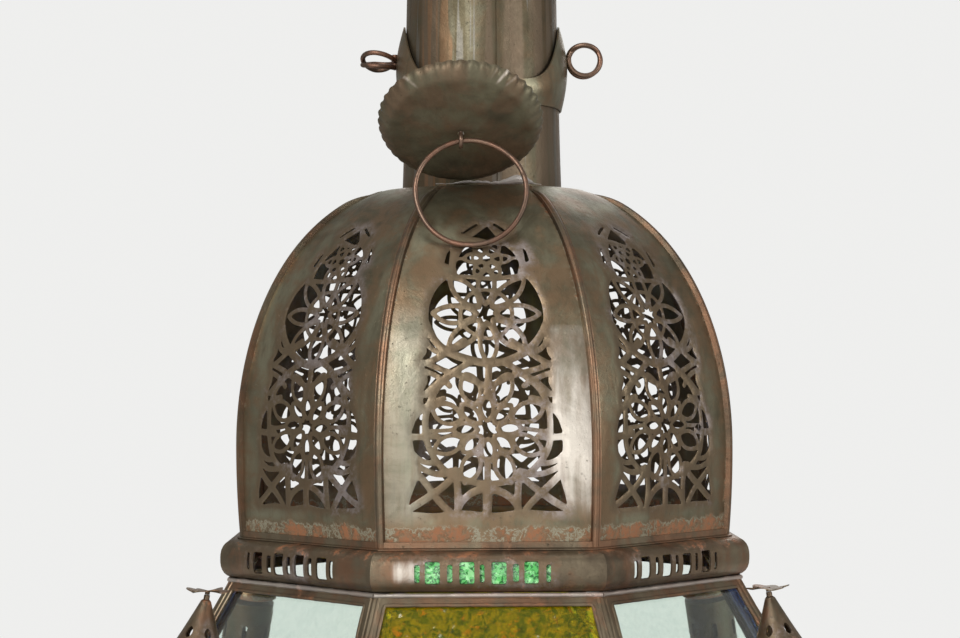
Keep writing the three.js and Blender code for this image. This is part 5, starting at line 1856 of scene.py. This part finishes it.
@dataclass(frozen=True)
class Glazing:
    """Beads, rolled seams and rivets of the shoulder and the body."""

    shoulder: Frustum = SHOULDER
    body: Frustum = BODY

    def rivets(self) -> Shape:
        """The rivet heads along the stiles of one face of the body."""
        body = self.body
        dome = [(0.05, 0.0), (1.9, 0.0), (1.75, 0.5), (1.2, 0.95), (0.6, 1.12), (0.05, 1.15)]
        head = lathe(np.array(dome), 16)
        levels = np.linspace(9, body.length - 9, 7)
        places = [(side * (body.half(v) - 8.0), v, -0.02) for v in levels for side in (-1, 1)]
        return Shape.joined([head.placed(Matrix.Translation(place)) for place in places])

    def build(self, shop: Workshop) -> None:
        """Adds the trim."""
        shoulder, body = self.shoulder, self.body
        strips = (shoulder.bead(0.6, 1.1), shoulder.seams(1.25), shoulder.lead(1.35))
        trim = Shape.joined([copy for strip in strips for copy in shoulder.on_faces(strip)])
        trim.marks["stain"] = np.full(len(trim.points), 0.3)
        shop.add("shoulder_trim", trim, Slot.RUSTED_TIN)
        rims = body.on_faces(body.bead(0.8, 1.3), (1, 2, 3))
        rolls, rivets = body.on_faces(body.seams(1.5)), body.on_faces(self.rivets())
        shop.add("body_trim", Shape.joined([*rims, *rolls, *rivets]), Slot.RUSTED_TIN)


@dataclass(frozen=True)
class Fittings:
    """Trim, knob, latch and hinges of the door, and the candle's tray and cup."""

    body: Frustum = BODY
    door_half: float = 139.0
    door_foot: float = 15.0
    trim_level: float = -0.8
    stile: float = 11.0
    knob: Pair = (133.5, 88.87)
    latch: Pair = (147.5, 128.87)
    latch_size: Pair = (7.0, 26.0)
    hinge_line: float = -139.5
    hinge_height: float = 3.3
    hinges: Pair = (59.0, 158.74)

    def on_door(self, shape: Shape) -> Shape:
        """A shape moved from the front face's plane to its place."""
        return shape.placed(self.body.face(0))

    def door_trim(self) -> Shape:
        """The beads along the door's rim and its pane."""
        beads = []
        for inset, radius in ((1.6, 1.1), (self.stile - 0.7, 1.2)):
            half, low = self.door_half - inset, self.door_foot + inset
            outline = rounded(oblong(-half, half, low, self.body.length - low), 2.0, 6)
            path = np.column_stack([outline, np.full(len(outline), self.trim_level)])
            beads.append(wire(path, radius, (0, 0, 1), 10, True))
        return self.on_door(Shape.joined(beads))

    def knob_shape(self) -> Shape:
        """The turned knob with its screw and nut."""
        turn = np.linspace(0, np.pi / 2, 9)
        head = [(5.9 * math.cos(t) + 0.05, 7.4 + 3.5 * math.sin(t)) for t in turn]
        neck = [(0.05, 0.35), (3.2, 0.35), (3.1, 1.2), (2.2, 2.2), (2.0, 3.6), (3.4, 5.0), (5.2, 6.0)]
        nut = prism(circle(2.9, 6), -6.0, -4.3, 0.25)
        screw = rod((0, 0, -6), (0, 0, 1), 1.5, 20)
        knob = Shape.joined([lathe(np.array([*neck, *head]), 48), nut, screw])
        return self.on_door(knob.placed(Matrix.Translation((*self.knob, 0))))

    def latch_shape(self) -> Shape:
        """The turn button: a round-ended plate on a clenched post."""
        width, length = self.latch_size
        ends = rounded(oblong(-width / 2, width / 2, -length / 2, length / 2), 2.6, 7)
        button = prism(ends, 0.5, 2.1, 0.35)
        post = rod((0, 0, -7), (0, 0, 2.6), 1.5, 20, 0.4)
        clench = rod((0, 0, -7), (0, 0, -5.3), 2.95, 24)
        latch = Shape.joined([button, post, clench])
        return self.on_door(latch.placed(Matrix.Translation((*self.latch, 0))))

    def hinge(self, v: float) -> Shape:
        """The fixed half of a hinge: two knuckles, the pin, the leaf and its screws."""
        x, z = self.hinge_line, self.hinge_height
        ends = [rod((x, v + side * 7.3, z), (x, v + side * 13.3, z), 3.0, 28, 0.4) for side in (-1, 1)]
        pin = rod((x, v - 13.4, z), (x, v + 13.4, z), 1.4, 20)
        plates = [prism(rounded(oblong(x - 12.2, x - 3.2, v - 13, v + 13), 1.2, 4), 0.3, 1.5, 0.2)]
        for side in (-1, 1):
            tab = np.array(oblong(x - 4, x - 0.4, v + side * 7.6, v + side * 12.9))
            plates.append(prism(tab, 0.36, 1.44, 0.15))
        dome = np.array([(0.05, 1.4), (1.6, 1.4), (1.5, 1.8), (0.9, 2.15), (0.05, 2.25)])
        screws = [lathe(dome, 16).placed(Matrix.Translation((x - 8, v + dy, 0))) for dy in (-8.5, 0, 8.5)]
        return self.on_door(Shape.joined([*ends, pin, *plates, *screws]))

    def tray(self) -> Shape:
        """The drip tray with its raised rim."""
        corners = [(0.6, 0), (35.2, 0), (44, 7), (42.8, 7), (34.8, 1.2), (0.6, 1.2)]
        return lathe(rounded(corners, 0.55, 4)).lifted(1.8)

    def cup(self) -> Shape:
        """The candle's cup with its spread foot."""
        corners = [(0.6, 0), (16.6, 0), (12.6, 3), (12.6, 26), (11.4, 26), (11.4, 3), (0.6, 3)]
        return lathe(rounded(corners, 0.5, 4), 72).lifted(3.3)

    def build(self, shop: Workshop) -> None:
        """Adds the fittings."""
        shop.add("door_trim", self.door_trim(), Slot.RUSTED_TIN, "door")
        shop.add("turned_knob", self.knob_shape(), Slot.COPPER_WIRE, "door", ["door_knob"])
        shop.add("turn_button", self.latch_shape(), Slot.DARK_TIN, "latch", ["door_latch"])
        for name, v in zip(("lower", "upper"), self.hinges):
            shop.add(f"{name}_hinge", self.hinge(v), Slot.DARK_TIN, replaces=[f"door_hinge_{name}"])
        shop.add("wax_tray", self.tray(), Slot.AGED_TIN, replaces=["drip_tray"])
        shop.add("cup_with_foot", self.cup(), Slot.AGED_TIN, replaces=["candle_cup"])


# --- Studio ---


@dataclass(frozen=True)
class Lamp:
    """Soft square lamp that looks at the lantern."""

    name: str
    place: Point
    size: float
    power: float


@dataclass(frozen=True)
class Studio:
    """Camera, lamps, pale surroundings and floor, in metres.

    Attributes:
        camera: Place of the camera.
        heading: Turn of its view to the right, in radians.
        pitch: Turn of its view upwards.
        roll: Turn of the camera clockwise.
        lens: Focal length in millimetres.
        sensor: Width of the sensor in millimetres.
        backdrop: Colour of the surroundings where the camera sees them.
        ambient: Their colour as light.
        floor_radius: Radius of the floor, which fades out towards its rim.
        aim: Point that the lamps look at.
        lamps: The lamps.
    """

    camera: Point = (-0.0208, -1.1711, 0.4327)
    heading: float = 0.0165
    pitch: float = 0.0217
    roll: float = 0.0037
    lens: float = 76.5
    sensor: float = 36.0
    backdrop: Colour = (0.86, 0.86, 0.85)
    ambient: Colour = (0.34, 0.335, 0.325)
    floor_radius: float = 1.7
    aim: Point = (0.0, 0.0, 0.42)
    lamps: tuple[Lamp, ...] = (
        Lamp("key", (-1.1, -2.0, 1.5), 1.1, 46.0),
        Lamp("fill", (1.9, -1.2, 0.9), 0.9, 19.0),
        Lamp("front", (-0.1, -2.3, 0.2), 0.8, 7.0),
        Lamp("back", (0.4, 1.9, 1.5), 1.4, 11.0),
        Lamp("top", (0.0, -0.2, 2.4), 1.4, 8.0),
    )

    def add_camera(self) -> None:
        """Adds the camera at the photograph's place and angle."""
        forward = Vector((math.sin(self.heading), math.cos(self.heading), math.tan(self.pitch))).normalized()
        right = forward.cross(Vector((0, 0, 1))).normalized()
        up = right.cross(forward)
        tilted_right = right * math.cos(self.roll) - up * math.sin(self.roll)
        tilted_up = up * math.cos(self.roll) + right * math.sin(self.roll)
        data = bpy.data.cameras.new("camera")
        data.sensor_width = self.sensor
        data.sensor_fit = "HORIZONTAL"
        data.lens = self.lens
        data.clip_start = 0.01
        camera = linked("camera", data)
        basis = Matrix((tilted_right, tilted_up, -forward)).transposed().to_4x4()
        camera.matrix_world = Matrix.Translation(self.camera) @ basis
        bpy.context.scene.camera = camera

    def add_lamps(self) -> None:
        """Adds the lamps, each turned towards the lantern's dome."""
        for lamp in self.lamps:
            data = bpy.data.lights.new(lamp.name, "AREA")
            data.shape = "SQUARE"
            data.size = lamp.size
            data.energy = lamp.power
            light = linked(lamp.name, data)
            aim = Vector(self.aim) - Vector(lamp.place)
            light.rotation_euler = aim.to_track_quat("-Z", "Y").to_euler()
            light.location = lamp.place

    def add_surroundings(self) -> None:
        """Sets pale surroundings: bright where the camera sees them, softer as light."""
        world = bpy.data.worlds.new("studio")
        world.use_nodes = True
        bpy.context.scene.world = world
        make = NodeMaker(world.node_tree)
        path = make.node("ShaderNodeLightPath", {}, {})
        seen = path[0].math("MAXIMUM", path[6])
        shade = make.mix(seen, self.ambient, self.backdrop)
        make.surface(make.node("ShaderNodeBackground", {}, {"Color": shade, "Strength": 1.0})[0])

    def add_floor(self) -> None:
        """Adds a round pale floor that fades out at its rim."""
        rings = np.linspace(0.02, self.floor_radius, 24)[:, None]
        surface = skin(from_side(rings, angles(96), -0.0004), wrap_columns=True)
        surface.faces.append(np.arange(96)[None, :])
        mesh = bpy.data.meshes.new("floor")
        mesh.from_pydata(surface.points.tolist(), [], [f for block in surface.faces for f in block.tolist()])
        material, make = blank_material("floor")
        place = make.position()
        away = make.node("ShaderNodeVectorMath", {"operation": "LENGTH"}, {0: place})[1]
        fade = 1.0 - away.step(0.55 * self.floor_radius, 0.99 * self.floor_radius)
        grain = make.noise(place, 60, 3) * 0.02
        colour = make.mix(grain, (0.8, 0.8, 0.79), (0.7, 0.7, 0.7))
        make.principled({"Base Color": colour, "Roughness": 0.85, "Alpha": fade})
        mesh.materials.append(material)
        linked("floor", mesh)

    def build(self) -> None:
        """Adds everything and sets the plain view transform."""
        bpy.context.scene.view_settings.view_transform = "Standard"
        self.add_camera()
        self.add_lamps()
        self.add_surroundings()
        self.add_floor()


def main() -> None:
    """Loads the frame, builds the lantern's pieces and the studio, and closes the scene."""
    logging.basicConfig(level=logging.INFO, format="%(name)s %(message)s", stream=sys.stdout)
    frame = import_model()
    shop = Workshop(frame)
    assemblies = [
        Dome(),
        Neck(),
        Collar(),
        Eyelet(-1, math.radians(83)),
        Eyelet(1, math.radians(-8)),
        HangingDisc(),
        Moulding(),
        *(Turret(k + 1, x, y) for k, (x, y) in enumerate(((1, -1), (1, 1), (-1, 1), (-1, -1)))),
        Glazing(),
        Fittings(),
    ]
    for assembly in assemblies:
        LOG.info("building %s", type(assembly).__name__)
        assembly.build(shop)
    shop.dress()
    Studio().build()
    bpy.context.view_layer.update()


if __name__ == "__main__":
    main()
